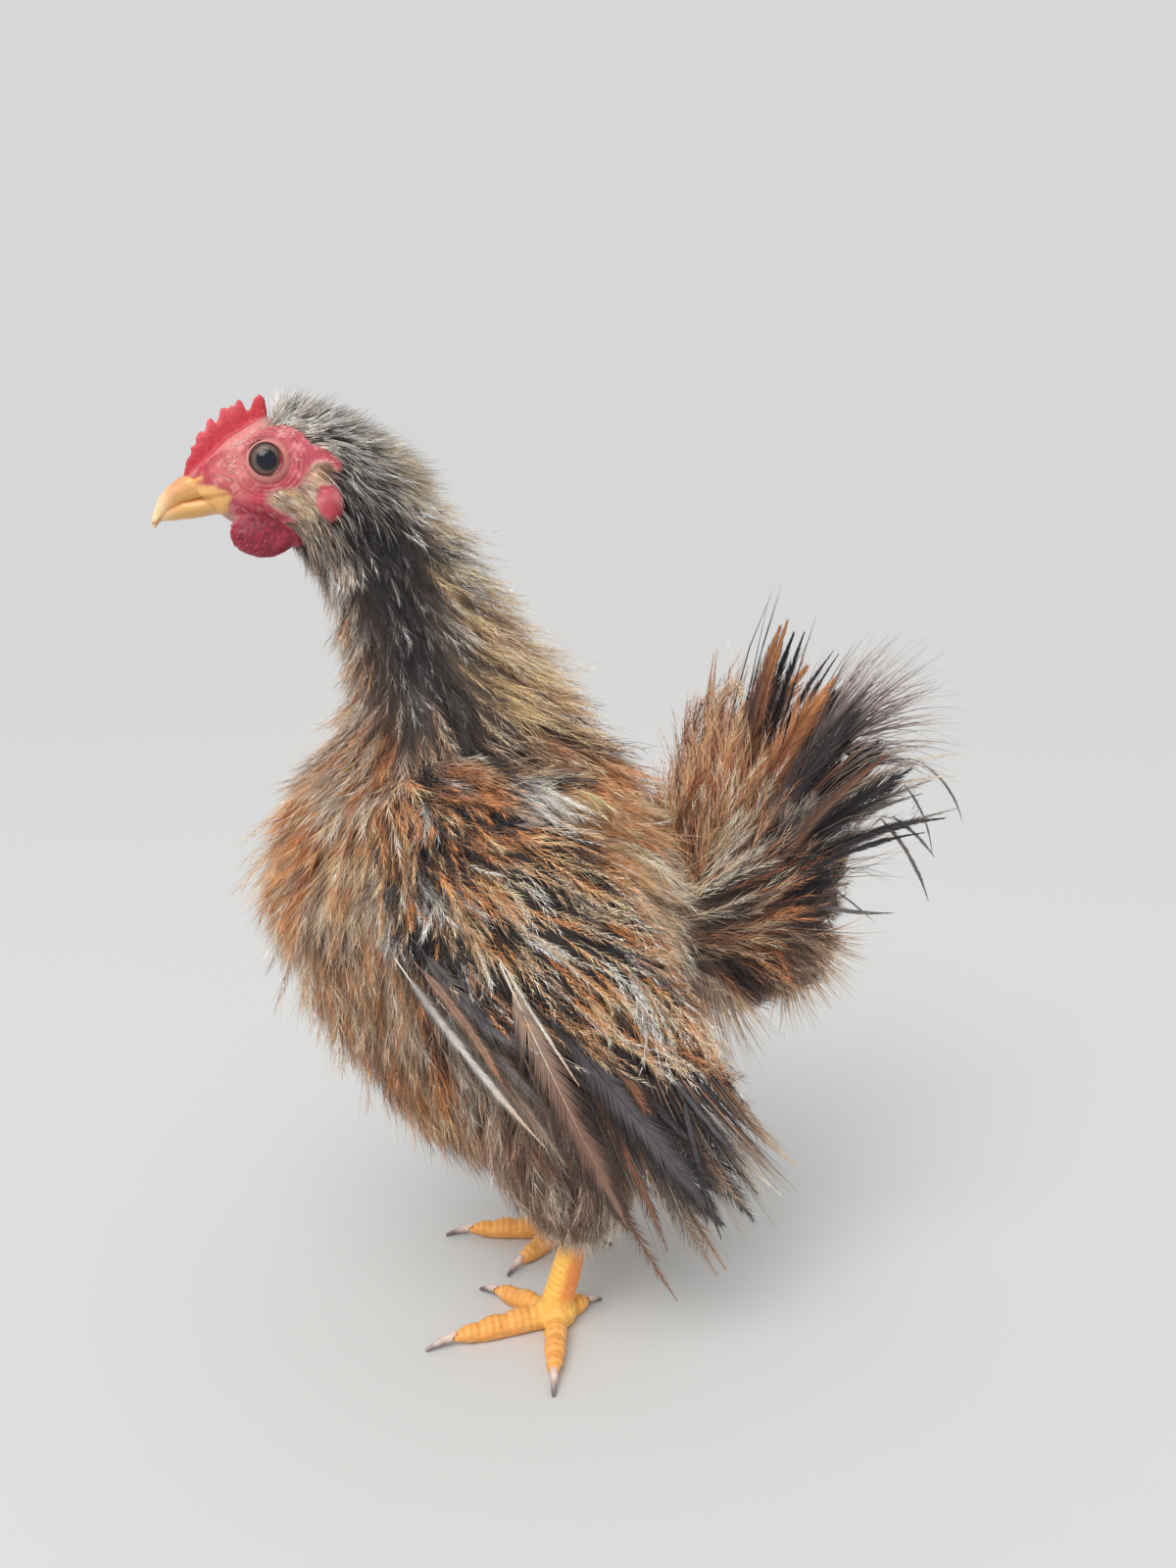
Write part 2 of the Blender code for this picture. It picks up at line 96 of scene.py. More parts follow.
# Outlines in side view, as (x, z)
RED_FACE = ((-95.3, 213.2), (-93.3, 216.4), (-89.0, 218.9), (-84.3, 219.2), (-82.2, 221.5), (-79.3, 223.5),
            (-74.7, 224.6), (-71.2, 223.8), (-67.5, 219.9), (-63.8, 219.2), (-61.2, 217.2), (-61.4, 215.6),
            (-63.0, 217.0), (-65.4, 217.6), (-68.2, 215.6), (-71.4, 211.8), (-78.5, 209.9),
            (-78.3, 207.6), (-72.4, 203.7), (-84.4, 204.9), (-86.8, 205.9), (-88.0, 209.5), (-94.6, 211.1))
EARLOBE = ((-66.2, 210.2), (-64.6, 211.4), (-62.5, 211.0), (-61.2, 209.2), (-60.8, 206.8), (-61.8, 204.4),
           (-63.4, 203.4), (-65.2, 204.8), (-66.2, 207.1))
HORN_BASE = ((-99.0, 216.0), (-96.4, 213.7), (-95.4, 211.7), (-91.9, 211.4), (-88.2, 210.6), (-86.6, 209.8),
             (-86.3, 208.9), (-87.6, 207.4), (-87.4, 206.6), (-88.4, 205.6), (-93.0, 203.4))


# Colours

def linear(colour):
    """A colour as a screen shows it, 0 to 1, as the light that the shaders take."""
    colour = np.asarray(colour, dtype=float)
    return np.where(colour <= 0.04045, colour / 12.92, ((colour + 0.055) / 1.055) ** 2.4)


def shade(red, green, blue):
    """A colour from its 0 to 255 parts."""
    return tuple(float(part) for part in linear((red / 255, green / 255, blue / 255)))


def colour_setting(name, description, colour):
    """A colour that the user may change."""
    return FloatVectorProperty(name=name, description=description, default=colour, size=3, subtype="COLOR",
                               min=0.0, max=1.0)


class SeramaPlumage(bpy.types.PropertyGroup):
    """Sizes and colours of the plumage."""
    fullness: FloatProperty(name="Fullness", description="Share of the plumes that are grown",
                            default=1.0, min=0.1, max=1.2, subtype="FACTOR")
    plume_length: FloatProperty(name="Plume length", default=1.0, min=0.5, max=1.3, subtype="FACTOR",
                                description="Length of the plumes against a young cockerel's")
    black: colour_setting("Black", "Black vanes and the neck's dark side", shade(48, 44, 47))
    charcoal: colour_setting("Charcoal", "Dark grey down", shade(82, 76, 77))
    slate: colour_setting("Slate", "Smooth grey vanes", shade(98, 94, 98))
    grey: colour_setting("Grey", "Grey down", shade(162, 152, 147))
    pale: colour_setting("Pale grey", "Pale grey hairs of the crown", shade(228, 220, 213))
    white: colour_setting("White", "White streaks", shade(250, 245, 238))
    cream: colour_setting("Cream", "Pale tips and quills", shade(252, 235, 214))
    straw: colour_setting("Straw", "Golden cape", shade(246, 210, 162))
    tan: colour_setting("Tan", "Buff tips", shade(248, 208, 168))
    rust: colour_setting("Rust", "Orange-brown back and coverts", shade(234, 160, 104))
    chestnut: colour_setting("Chestnut", "Deep red-brown", shade(168, 108, 78))
    brown: colour_setting("Brown", "Dark brown down", shade(142, 108, 90))
    dun: colour_setting("Dun", "Grey-brown fluff", shade(192, 164, 143))
    mauve: colour_setting("Mauve grey", "Faded barbs of the tail", shade(176, 152, 150))


class SeramaSkin(bpy.types.PropertyGroup):
    """Sizes and colours of the bare parts."""
    wrinkle_depth: FloatProperty(name="Wrinkle depth", description="Depth of the folds round the eye",
                                 default=0.00016, min=0.0, max=0.0005, unit="LENGTH")
    scute_depth: FloatProperty(name="Scute depth", description="Height of the rings on the shanks and toes",
                               default=0.00034, min=0.0, max=0.0006, unit="LENGTH")
    face: colour_setting("Face", "Bare red skin", shade(176, 58, 76))
    comb: colour_setting("Comb", "Comb", shade(196, 44, 58))
    wattle: colour_setting("Wattle", "Wattles", shade(160, 34, 56))
    leg: colour_setting("Leg", "Yellow of the legs", shade(252, 196, 92))
    toe: colour_setting("Toe", "Orange of the toes", shade(244, 174, 92))
    horn: colour_setting("Horn", "Yellow horn of the bill", shade(226, 174, 106))


class SeramaStage(bpy.types.PropertyGroup):
    """Sizes and colours of the stage."""
    floor_width: FloatProperty(name="Floor width", description="Width of the pale floor", default=40.0,
                               min=1.0, unit="LENGTH")
    floor_colour: colour_setting("Floor", "Pale floor", shade(208, 208, 207))
    room_light: FloatProperty(name="Room light", description="Strength of the even light from all round",
                              default=0.68, min=0.0)
    light_strength: FloatProperty(name="Lamp strength", default=6.0, min=0.0,
                                  description="Strength that both lamps are scaled from")


def plumage():
    return bpy.context.scene.serama_plumage


def skin_settings():
    return bpy.context.scene.serama_skin


# Forms: closed meshes in millimetres, built from the frame's own solids

def cad_form(names, grow=0.0):
    """The named CAD solids as one mesh, each swollen by grow so that the cuts between them close."""
    form = bmesh.new()
    for name in names:
        part = bmesh.new()
        part.from_mesh(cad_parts[name].data)
        bmesh.ops.remove_doubles(part, verts=part.verts, dist=1e-6)
        bmesh.ops.scale(part, vec=(1 / MM, 1 / MM, 1 / MM), verts=part.verts)
        part.normal_update()
        for vert in part.verts:
            vert.co += vert.normal * grow
        mesh = bpy.data.meshes.new(name)
        part.to_mesh(mesh)
        part.free()
        form.from_mesh(mesh)
        bpy.data.meshes.remove(mesh)
    return form


def as_object(form, name):
    """An object that holds the form. The form is freed."""
    mesh = bpy.data.meshes.new(name)
    form.to_mesh(mesh)
    form.free()
    obj = bpy.data.objects.new(name, mesh)
    bpy.context.scene.collection.objects.link(obj)
    return obj


def settled(obj):
    """The form that the object's modifiers give. The object is removed."""
    depsgraph = bpy.context.evaluated_depsgraph_get()
    form = bmesh.new()
    form.from_object(obj, depsgraph)
    mesh = obj.data
    bpy.data.objects.remove(obj)
    bpy.data.meshes.remove(mesh)
    return form


def smoothed(form, verts, rounds):
    """The form with these points smoothed this many rounds."""
    for _ in range(rounds):
        bmesh.ops.smooth_vert(form, verts=verts, factor=0.5, use_axis_x=True, use_axis_y=True,
                              use_axis_z=True)
    return form


def evened(form, voxel, rounds=3):
    """The form in small even faces with no open edge, smoothed this many rounds."""
    obj = as_object(form, "evened")
    modifier = obj.modifiers.new("Even faces", "REMESH")
    modifier.mode = "VOXEL"
    modifier.voxel_size = voxel
    form = settled(obj)
    return smoothed(form, form.verts, rounds)


def combined(form, other, operation):
    """The form joined with another one, or cut by it."""
    obj, tool = as_object(form, "form"), as_object(other, "tool")
    modifier = obj.modifiers.new("Combine", "BOOLEAN")
    modifier.operation = operation
    modifier.solver = "MANIFOLD"
    modifier.object = tool
    result = settled(obj)
    mesh = tool.data
    bpy.data.objects.remove(tool)
    bpy.data.meshes.remove(mesh)
    return result


def trimmed(form, place, direction):
    """The part of the form behind a plane, closed again."""
    geometry = form.verts[:] + form.edges[:] + form.faces[:]
    cut = bmesh.ops.bisect_plane(form, geom=geometry, plane_co=place, plane_no=direction, clear_outer=True)
    rim = [item for item in cut["geom_cut"] if isinstance(item, bmesh.types.BMEdge)]
    bmesh.ops.holes_fill(form, edges=rim)
    bmesh.ops.triangulate(form, faces=[face for face in form.faces if len(face.verts) > 4])
    return form


def places_of(form):
    return np.array([vert.co[:] for vert in form.verts])


def normals_of(form):
    form.normal_update()
    return np.array([vert.normal[:] for vert in form.verts])


def put(form, places):
    for vert, place in zip(form.verts, places):
        vert.co = place


def ball(centre, radii, segments=32, rings=20):
    """A ball or egg."""
    form = bmesh.new()
    bmesh.ops.create_uvsphere(form, u_segments=segments, v_segments=rings, radius=1.0)
    bmesh.ops.scale(form, vec=radii, verts=form.verts)
    bmesh.ops.translate(form, vec=centre, verts=form.verts)
    return form


def filled(form, centre, radii):
    """Adds a ball that fills a hollow, as a closed form of its own."""
    filler = as_object(ball(centre, radii), "filler")
    mesh = filler.data
    form.from_mesh(mesh)
    bpy.data.objects.remove(filler)
    bpy.data.meshes.remove(mesh)


def eye_place(side, inward=0.0):
    """The middle of one eye, moved in by this much. Side is -1 or 1."""
    return EYE_CENTRE[0], side * (EYE_CENTRE[1] - inward), EYE_CENTRE[2]


# Masks and smooth random drift, over arrays of places

def unit(vectors):
    return vectors / np.maximum(np.linalg.norm(vectors, axis=-1, keepdims=True), 1e-9)


def folded(places):
    """The places with both sides laid on the positive one."""
    return np.stack([places[..., 0], np.abs(places[..., 1]), places[..., 2]], axis=-1)


def near(places, centre, reach):
    """1 at the centre, on either side, falling to 0 a little past the reach. Reach may differ by axis."""
    away = (folded(places) - np.asarray(centre)) / np.asarray(reach)
    return np.exp(-(away ** 2).sum(axis=-1))


def ramp(values, start, end):
    """0 at start and 1 at end, smooth."""
    share = np.clip((values - start) / (end - start), 0, 1)
    return share * share * (3 - 2 * share)


def inside(places, outline, soft=0.5):
    """1 inside an outline in side view, on either side of the bird, falling to 0 this far outside it."""
    flat = places[:, (0, 2)]
    corners = np.asarray(outline, dtype=float)
    nearest = np.full(len(flat), 1e9)
    within = np.zeros(len(flat), dtype=bool)
    for start, end in zip(corners, np.roll(corners, -1, axis=0)):
        way = end - start
        share = np.clip(((flat - start) @ way) / (way @ way), 0, 1)
        nearest = np.minimum(nearest, np.linalg.norm(flat - start - share[:, None] * way, axis=1))
        spans = (start[1] > flat[:, 1]) != (end[1] > flat[:, 1])
        height = way[1] if abs(way[1]) > 1e-6 else 1e-6
        within ^= spans & (flat[:, 0] < start[0] + (flat[:, 1] - start[1]) * way[0] / height)
    return ramp(np.where(within, nearest, -nearest), -soft, soft * 0.4)


def drift(places, size, seed):
    """Smooth random vectors between about -1 and 1 that change over this size."""
    rng = np.random.default_rng(seed)
    total = np.zeros(places.shape)
    for octave in (1.0, 1.7):
        waves = rng.normal(size=(4, 3, 3)) * octave * 1.3 / size
        phases = rng.uniform(0, 2 * math.pi, size=(4, 3))
        for wave, phase in zip(waves, phases):
            total += np.sin(places @ wave.T + phase)
    return total / 4.0


def grains(places, size, seed=0.0):
    """Rounded grains, 1 at a grain's middle and 0 between grains."""
    values = np.empty(len(places))
    for number, place in enumerate(places):
        distances, _ = noise.voronoi(Vector(place) / size + Vector((seed, 0, 0)))
        values[number] = min(1.0, distances[1] - distances[0])
    return values


# The surface that the feather tips reach

class Surface:
    """A closed form that plumes are rooted on and follow."""

    def __init__(self, form):
        form.normal_update()
        bmesh.ops.triangulate(form, faces=form.faces)
        self.tree = BVHTree.FromBMesh(form)
        self.places = places_of(form)
        self.normals = normals_of(form)
        self.faces = np.array([[vert.index for vert in face.verts] for face in form.faces])
        corners = self.places[self.faces]
        across = np.cross(corners[:, 1] - corners[:, 0], corners[:, 2] - corners[:, 0])
        self.areas = np.linalg.norm(across, axis=1) / 2
        self.middles = corners.mean(axis=1)
        form.free()

    def scatter(self, rng, count, density):
        """Places on the surface, thicker where density is higher, and the normals there."""
        weights = self.areas * np.maximum(density(self.middles), 0)
        chosen = rng.choice(len(weights), size=count, p=weights / weights.sum())
        first, second = rng.random(count), rng.random(count)
        over = first + second > 1
        first[over], second[over] = 1 - first[over], 1 - second[over]
        shares = np.stack([1 - first - second, first, second], axis=1)[:, :, None]
        corners = self.faces[chosen]
        return (self.places[corners] * shares).sum(axis=1), unit((self.normals[corners] * shares).sum(axis=1))

    def nearest(self, places):
        """The nearest places on the surface and their normals."""
        found = np.empty(places.shape)
        faces = np.empty(len(places), dtype=int)
        for number, place in enumerate(places):
            spot, _, face, _ = self.tree.find_nearest(place)
            found[number] = spot
            faces[number] = face
        corners = self.faces[faces]
        spans = np.linalg.norm(self.places[corners] - found[:, None, :], axis=2)
        shares = 1 / np.maximum(spans, 0.05)
        shares /= shares.sum(axis=1, keepdims=True)
        return found, unit((self.normals[corners] * shares[:, :, None]).sum(axis=1))


@cache
def body_surface():
    """Head, neck, trunk and thighs, out to the feather tips."""
    return Surface(evened(cad_form(("head", "neck", "trunk", "thigh_left", "thigh_right"), grow=0.4), 1.6, 5))


@cache
def head_surface():
    """The head and upper neck in finer faces, so that the hair's edges are sharp."""
    return Surface(evened(cad_form(("head", "neck"), grow=0.3), 0.75, 6))


@cache
def wing_surface(side):
    return Surface(evened(cad_form((f"wing_{side}",)), 1.2, 3))


# The lie, length and colours of the coat, by place

@dataclass
class Spot:
    """What the coat does round one place: which way it lies, how long its plumes are, how steeply they rise,
    how thick it is and which colours it mixes."""
    place: tuple
    reach: float
    lie: tuple
    length: float
    rise: float
    depth: float
    mix: str


BODY_SPOTS = (
    Spot((-82, 4, 223), 4, (0.85, 0.1, 0.4), 1.8, 24, 0.4, "brow"),
    Spot((-74, 2, 230), 6, (0.85, 0, 0.3), 4.8, 58, 1.4, "crown"),
    Spot((-62, 3, 228), 7, (0.9, 0, -0.2), 5.6, 46, 2, "crown"),
    Spot((-73, 9, 225), 3.5, (0.9, 0.1, -0.1), 2.4, 22, 0.5, "brow"),
    Spot((-64, 10, 222), 4.5, (0.9, 0.1, -0.4), 4.2, 24, 1.3, "crown"),
    Spot((-46, 2, 215), 9, (0.6, 0, -0.8), 9, 42, 3.4, "nape"),
    Spot((-55, 11, 216), 6, (0.75, 0, -0.65), 7.5, 24, 2.6, "dark nape"),
    Spot((-73, 11, 208), 6, (0.85, 0, -0.5), 2.3, 13, 0.35, "cheek"),
    Spot((-66, 8, 198), 6, (0.5, 0, -0.85), 5.2, 24, 1.6, "throat"),
    Spot((-64, 0, 190), 7, (0.1, 0, -1), 7.5, 24, 2.8, "throat"),
    Spot((-52, 13, 200), 8, (0.45, 0, -0.9), 9, 18, 3, "dark neck"),
    Spot((-47, 14, 186), 9, (0.4, 0, -0.92), 11, 16, 3.6, "dark neck"),
    Spot((-32, 3, 196), 8, (0.7, 0, -0.7), 12, 38, 4.4, "nape"),
    Spot((-34, 11, 186), 7, (0.75, 0, -0.6), 13, 22, 4.2, "cape"),
    Spot((-62, 3, 176), 8, (-0.05, 0, -1), 9.5, 26, 4, "neck front"),
    Spot((-44, 15, 172), 8, (0.35, 0, -0.93), 13, 14, 4.6, "dark neck"),
    Spot((-21, 3, 180), 9, (0.82, 0, -0.5), 16, 34, 5.2, "cape"),
    Spot((-27, 12, 171), 9, (0.78, 0.05, -0.55), 17, 18, 5.2, "cape"),
    Spot((-60, 8, 160), 9, (-0.1, 0.1, -1), 13, 22, 5.5, "neck front"),
    Spot((-40, 19, 158), 8, (0.35, 0.15, -0.9), 14, 14, 5.4, "dark band"),
    Spot((-22, 21, 152), 8, (0.75, 0.15, -0.6), 16, 13, 5.6, "dark band"),
    Spot((-8, 6, 160), 10, (0.88, 0, -0.45), 18, 26, 6, "cape low"),
    Spot((8, 6, 146), 11, (0.88, 0, -0.45), 19, 22, 6.5, "back"),
    Spot((-6, 24, 140), 12, (0.85, 0.1, -0.45), 18, 15, 6, "back"),
    Spot((16, 18, 128), 12, (0.9, 0.05, -0.4), 20, 15, 6.5, "saddle"),
    Spot((24, 8, 112), 11, (0.95, 0, -0.1), 20, 16, 6, "saddle"),
    Spot((-62, 14, 147), 11, (-0.3, 0.1, -0.95), 16, 24, 6.5, "breast top"),
    Spot((-76, 8, 128), 11, (-0.3, 0.1, -0.95), 18, 30, 7.5, "breast top"),
    Spot((-60, 28, 130), 11, (0, 0.1, -1), 16, 17, 6.5, "breast side"),
    Spot((-79, 10, 108), 11, (-0.1, 0.1, -1), 18, 28, 8, "breast"),
    Spot((-58, 30, 105), 12, (0.15, 0.05, -1), 17, 16, 7, "belly"),
    Spot((-70, 12, 88), 12, (0.15, 0, -1), 18, 24, 8, "belly"),
    Spot((-52, 24, 76), 12, (0.3, 0, -0.95), 18, 20, 7.5, "belly"),
    Spot((-50, 8, 58), 12, (0.4, 0, -0.9), 17, 20, 7, "belly"),
    Spot((-28, 34, 80), 13, (0.3, 0, -0.95), 16, 12, 6, "thigh"),
    Spot((-22, 34, 55), 12, (0.15, 0.05, -1), 16, 13, 6, "thigh"),
    Spot((2, 34, 60), 12, (0.1, 0.05, -1), 16, 13, 6, "thigh"),
    Spot((-9, 21, 36), 9, (0, 0, -1), 11, 9, 2.4, "hem"),
    Spot((9, 20, 44), 8, (0, 0, -1), 12, 12, 1.6, "hem"),
    Spot((-35, 6, 44), 9, (0.4, 0, -0.9), 13, 16, 6, "hem"),
    Spot((28, 16, 88), 13, (0.6, 0, -0.8), 18, 18, 6.5, "vent"),
    Spot((14, 8, 56), 12, (0.35, 0, -0.95), 16, 16, 6, "thigh"),
)

WING_SPOTS = (
    Spot((-52, 34, 135), 8, (0.3, 0.2, -0.95), 9, 18, 2.4, "shoulder"),
    Spot((-40, 34, 143), 8, (0.75, 0.3, -0.5), 11, 12, 2.6, "shoulder"),
    Spot((-27, 34, 143), 4.5, (0.85, 0, -0.5), 14, 16, 2.6, "white streak"),
    Spot((-50, 40, 120), 8, (0.25, 0, -0.97), 11, 20, 2.4, "shoulder dark"),
    Spot((-55, 36, 118), 5, (0.2, 0, -0.98), 12, 14, 2.4, "white streak"),
    Spot((-52, 40, 102), 8, (0.35, 0, -0.94), 12, 12, 2.2, "leading edge"),
    Spot((-36, 42, 126), 8, (0.7, 0, -0.6), 13, 24, 2.6, "mottled"),
    Spot((-20, 40, 132), 9, (0.85, 0, -0.5), 15, 18, 2.6, "mottled"),
    Spot((-30, 44, 112), 8, (0.72, 0, -0.66), 15, 17, 2.6, "covert"),
    Spot((-12, 42, 118), 9, (0.8, 0, -0.55), 16, 17, 2.6, "covert"),
    Spot((-36, 44, 98), 7, (0.5, 0, -0.85), 13, 12, 2.2, "leading edge"),
    Spot((-15, 44, 100), 8, (0.7, 0, -0.7), 15, 16, 2.4, "covert"),
    Spot((5, 40, 108), 9, (0.78, 0, -0.62), 16, 16, 2.4, "low covert"),
    Spot((3, 41, 104), 5.2, (0.75, 0, -0.66), 12, 14, 2, "white tuft"),
    Spot((8, 42, 92), 8, (0.72, 0, -0.7), 17, 15, 2.2, "low covert"),
    Spot((18, 40, 92), 8, (0.72, 0, -0.7), 17, 15, 2.2, "low covert"),
)

# Each mix is a list of plumes: percent, then the colours of root, middle and tip.
MIXES = {
    "brow": "60 dun cream cream, 40 pale white white",
    "crown": "50 grey pale white, 25 pale cream white, 25 black charcoal charcoal",
    "cheek": "40 tan tan cream, 35 pale cream white, 25 chestnut dun pale",
    "throat": "50 charcoal dun pale, 30 charcoal grey cream, 20 black charcoal dun",
    "nape": "40 charcoal straw cream, 35 grey pale white, 25 black charcoal straw",
    "dark nape": "50 black charcoal charcoal, 25 charcoal grey pale, 25 charcoal pale white",
    "dark neck": "72 black black charcoal, 16 black charcoal grey, 12 charcoal grey white",
    "cape": "60 charcoal straw straw, 25 brown tan cream, 15 black brown tan",
    "cape low": "25 charcoal tan straw, 25 brown rust straw, 50 black black brown",
    "neck front": "45 charcoal dun cream, 30 brown rust tan, 25 black charcoal dun",
    "dark band": "40 black black charcoal, 40 black brown tan, 20 charcoal dun cream",
    "breast top": "40 charcoal rust tan, 25 brown chestnut rust, 35 charcoal dun cream",
    "breast side": "40 charcoal rust tan, 30 black brown tan, 30 charcoal dun cream",
    "breast": "40 brown rust tan, 20 brown chestnut rust, 30 brown dun cream, 10 black charcoal brown",
    "belly": "40 charcoal brown tan, 20 brown chestnut rust, "
             "20 charcoal dun cream, 20 black charcoal brown",
    "thigh": "40 black brown dun, 30 charcoal dun cream, 30 black brown brown",
    "hem": "50 charcoal dun cream, 30 black charcoal dun, 20 brown tan white",
    "vent": "30 charcoal brown dun, 25 charcoal brown tan, 45 black charcoal brown",
    "back": "50 rust rust tan, 20 charcoal chestnut rust, 15 brown rust tan, 15 rust tan cream",
    "saddle": "65 tan cream cream, 30 tan tan cream, 5 brown rust tan",
    "shoulder": "30 black brown rust, 38 black black charcoal, 24 brown rust tan, 8 charcoal pale white",
    "shoulder dark": "50 black black charcoal, 20 charcoal grey pale, 30 black brown tan",
    "white streak": "70 grey white white, 30 charcoal grey pale",
    "white tuft": "85 white white white, 15 grey pale white",
    "leading edge": "40 black black charcoal, 35 black brown rust, 25 charcoal slate pale",
    "mottled": "32 rust rust tan, 15 rust straw tan, 20 tan cream white, 33 black black charcoal",
    "covert": "34 rust rust tan, 28 tan tan cream, 12 cream cream white, 26 black black charcoal",
    "low covert": "40 rust rust tan, 38 rust tan cream, 8 tan cream white, 14 black black chestnut",
    "grey down": "40 charcoal grey dun, 40 charcoal slate grey, 20 charcoal brown tan",
    "fan": "35 black charcoal dun, 20 charcoal brown tan, 20 brown dun cream, "
           "15 black slate pale, 10 chestnut chestnut tan",
    "tail barbs": "50 charcoal mauve pale, 25 charcoal slate mauve, 25 mauve pale white",
    "tail hairs": "60 brown black black, 40 chestnut brown grey",
    "tail tips": "100 brown black black",
    "tail base": "30 black chestnut rust, 60 black black charcoal, 10 charcoal brown tan",
    "under tail": "50 black black charcoal, 30 charcoal brown tan, 20 black charcoal dun",
    "buff fringe": "50 dun tan cream, 30 brown dun tan, 20 charcoal dun pale",
    "pale fluff": "50 grey dun pale, 50 dun tan cream",
    "tail covert": "40 brown rust tan, 15 charcoal tan cream, 45 black brown chestnut",
}


def influence(places, spots):
    """How much each spot counts at each place. Each row adds up to 1."""
    flat = folded(places)
    columns = []
    for spot in spots:
        away = np.linalg.norm(flat - np.asarray(spot.place), axis=1) / spot.reach
        columns.append(np.exp(-away ** 2) + 1e-6 / (1 + away ** 4))
    weights = np.stack(columns, axis=1)
    return weights / weights.sum(axis=1, keepdims=True)


def blended(places, spots, reading):
    """A number of the spots, blended at each place."""
    return influence(places, spots) @ np.array([reading(spot) for spot in spots], dtype=float)


def lie_at(places, normals, spots):
    """The way the coat lies, along the surface."""
    way = blended(places, spots, lambda spot: spot.lie)
    way[:, 1] *= np.where(places[:, 1] < 0, -1, 1)
    way -= normals * (way * normals).sum(axis=1, keepdims=True)
    return unit(way)


def mix_rows(name):
    """A mix as shares and linear colours of its root, middle and tip."""
    rows = [row.split() for row in MIXES[name].split(", ")]
    shares = np.array([float(row[0]) for row in rows])
    colours = np.array([[tuple(getattr(plumage(), part)) for part in row[1:]] for row in rows])
    return shares / shares.sum(), colours


def pick_colours(rng, places, spots):
    """Root, middle and tip colour for each plume, drawn from the mixes of the spots near it."""
    weights = influence(places, spots)
    sharpened = weights ** 1.5
    sharpened /= sharpened.sum(axis=1, keepdims=True)
    draws = rng.random((len(places), 1))
    chosen = (draws > np.cumsum(sharpened, axis=1)).sum(axis=1).clip(0, len(spots) - 1)
    colours = np.empty((len(places), 3, 3))
    for number, spot in enumerate(spots):
        here = chosen == number
        shares, options = mix_rows(spot.mix)
        colours[here] = options[rng.choice(len(shares), size=here.sum(), p=shares)]
    return colours


# Strands: every hair, shaft and barb is a thin closed spike

class Strands:
    """A growing pile of spikes that becomes one mesh, with a colour and an OFBake place for each point."""

    def __init__(self):
        self.corners = []
        self.triangles = []
        self.tints = []
        self.patches = []
        self.total = 0

    def add(self, paths, flat, widths, thickness, tints, patches):
        """paths is (strands, points, 3) from root to tip, flat the way each is widest, widths (strands,
        points - 1), thickness a share of the width, tints (strands, points, 3) and patches (strands,
        points, 2) the OFBake places."""
        count, points, _ = paths.shape
        rings = points - 1
        tangents = unit(np.gradient(paths, axis=1)) if points > 2 else unit(
            np.repeat((paths[:, 1:] - paths[:, :1]), 2, axis=1))
        flat = flat[:, None, :] - tangents * (flat[:, None, :] * tangents).sum(axis=2, keepdims=True)
        flat = unit(flat)
        deep = np.cross(tangents, flat)
        angles = np.radians((90.0, 210.0, 330.0))
        half = widths[:, :, None, None] / 2
        offsets = (flat[:, :rings, None, :] * np.cos(angles + math.pi / 2)[:, None]
                   + deep[:, :rings, None, :] * np.sin(angles + math.pi / 2)[:, None] * thickness)
        ring_places = paths[:, :rings, None, :] + offsets * half
        corners = np.concatenate([ring_places.reshape(count, rings * 3, 3), paths[:, -1:, :]], axis=1)
        tips = rings * 3
        faces = [(0, 2, 1)]
        for ring in range(rings - 1):
            for side in range(3):
                low, next_low = ring * 3 + side, ring * 3 + (side + 1) % 3
                faces.append((low, next_low, next_low + 3))
                faces.append((low, next_low + 3, low + 3))
        last = (rings - 1) * 3
        for side in range(3):
            faces.append((last + side, last + (side + 1) % 3, tips))
        faces = np.array(faces)
        size = tips + 1
        starts = self.total + np.arange(count)[:, None, None] * size
        self.triangles.append((faces[None] + starts).reshape(-1, 3))
        self.corners.append(corners.reshape(-1, 3))
        ring_tints = np.repeat(tints[:, :rings], 3, axis=1)
        self.tints.append(np.concatenate([ring_tints, tints[:, -1:]], axis=1).reshape(-1, 3))
        spread = np.tile(np.array([(-0.3, 0), (0.3, 0), (0, 0.15)]), (rings, 1)) * TUFT_PATCH
        ring_patches = np.repeat(patches[:, :rings], 3, axis=1) + spread[None]
        self.patches.append(np.concatenate([ring_patches, patches[:, -1:]], axis=1).reshape(-1, 2))
        self.total += count * size

    def as_piece(self, name, material, slot):
        """The pile as a piece of the bird."""
        corners = np.concatenate(self.corners) * MM
        triangles = np.concatenate(self.triangles)
        patches = np.concatenate(self.patches)
        mesh = bpy.data.meshes.new(name)
        mesh.vertices.add(len(corners))
        mesh.vertices.foreach_set("co", corners.astype(np.float32).ravel())
        mesh.loops.add(triangles.size)
        mesh.loops.foreach_set("vertex_index", triangles.astype(np.int32).ravel())
        mesh.polygons.add(len(triangles))
        mesh.polygons.foreach_set("loop_start", np.arange(0, triangles.size, 3, dtype=np.int32))
        mesh.polygons.foreach_set("use_smooth", np.ones(len(triangles), dtype=bool))
        mesh.update(calc_edges=True)
        layer = mesh.uv_layers.new(name="OFBake")
        layer.uv.foreach_set("vector", patches[triangles.ravel()].astype(np.float32).ravel())
        painted(mesh, np.concatenate(self.tints))
        obj = bpy.data.objects.new(name, mesh)
        bpy.context.scene.collection.objects.link(obj)
        mesh.materials.append(material)
        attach(obj, "root")
        return obj


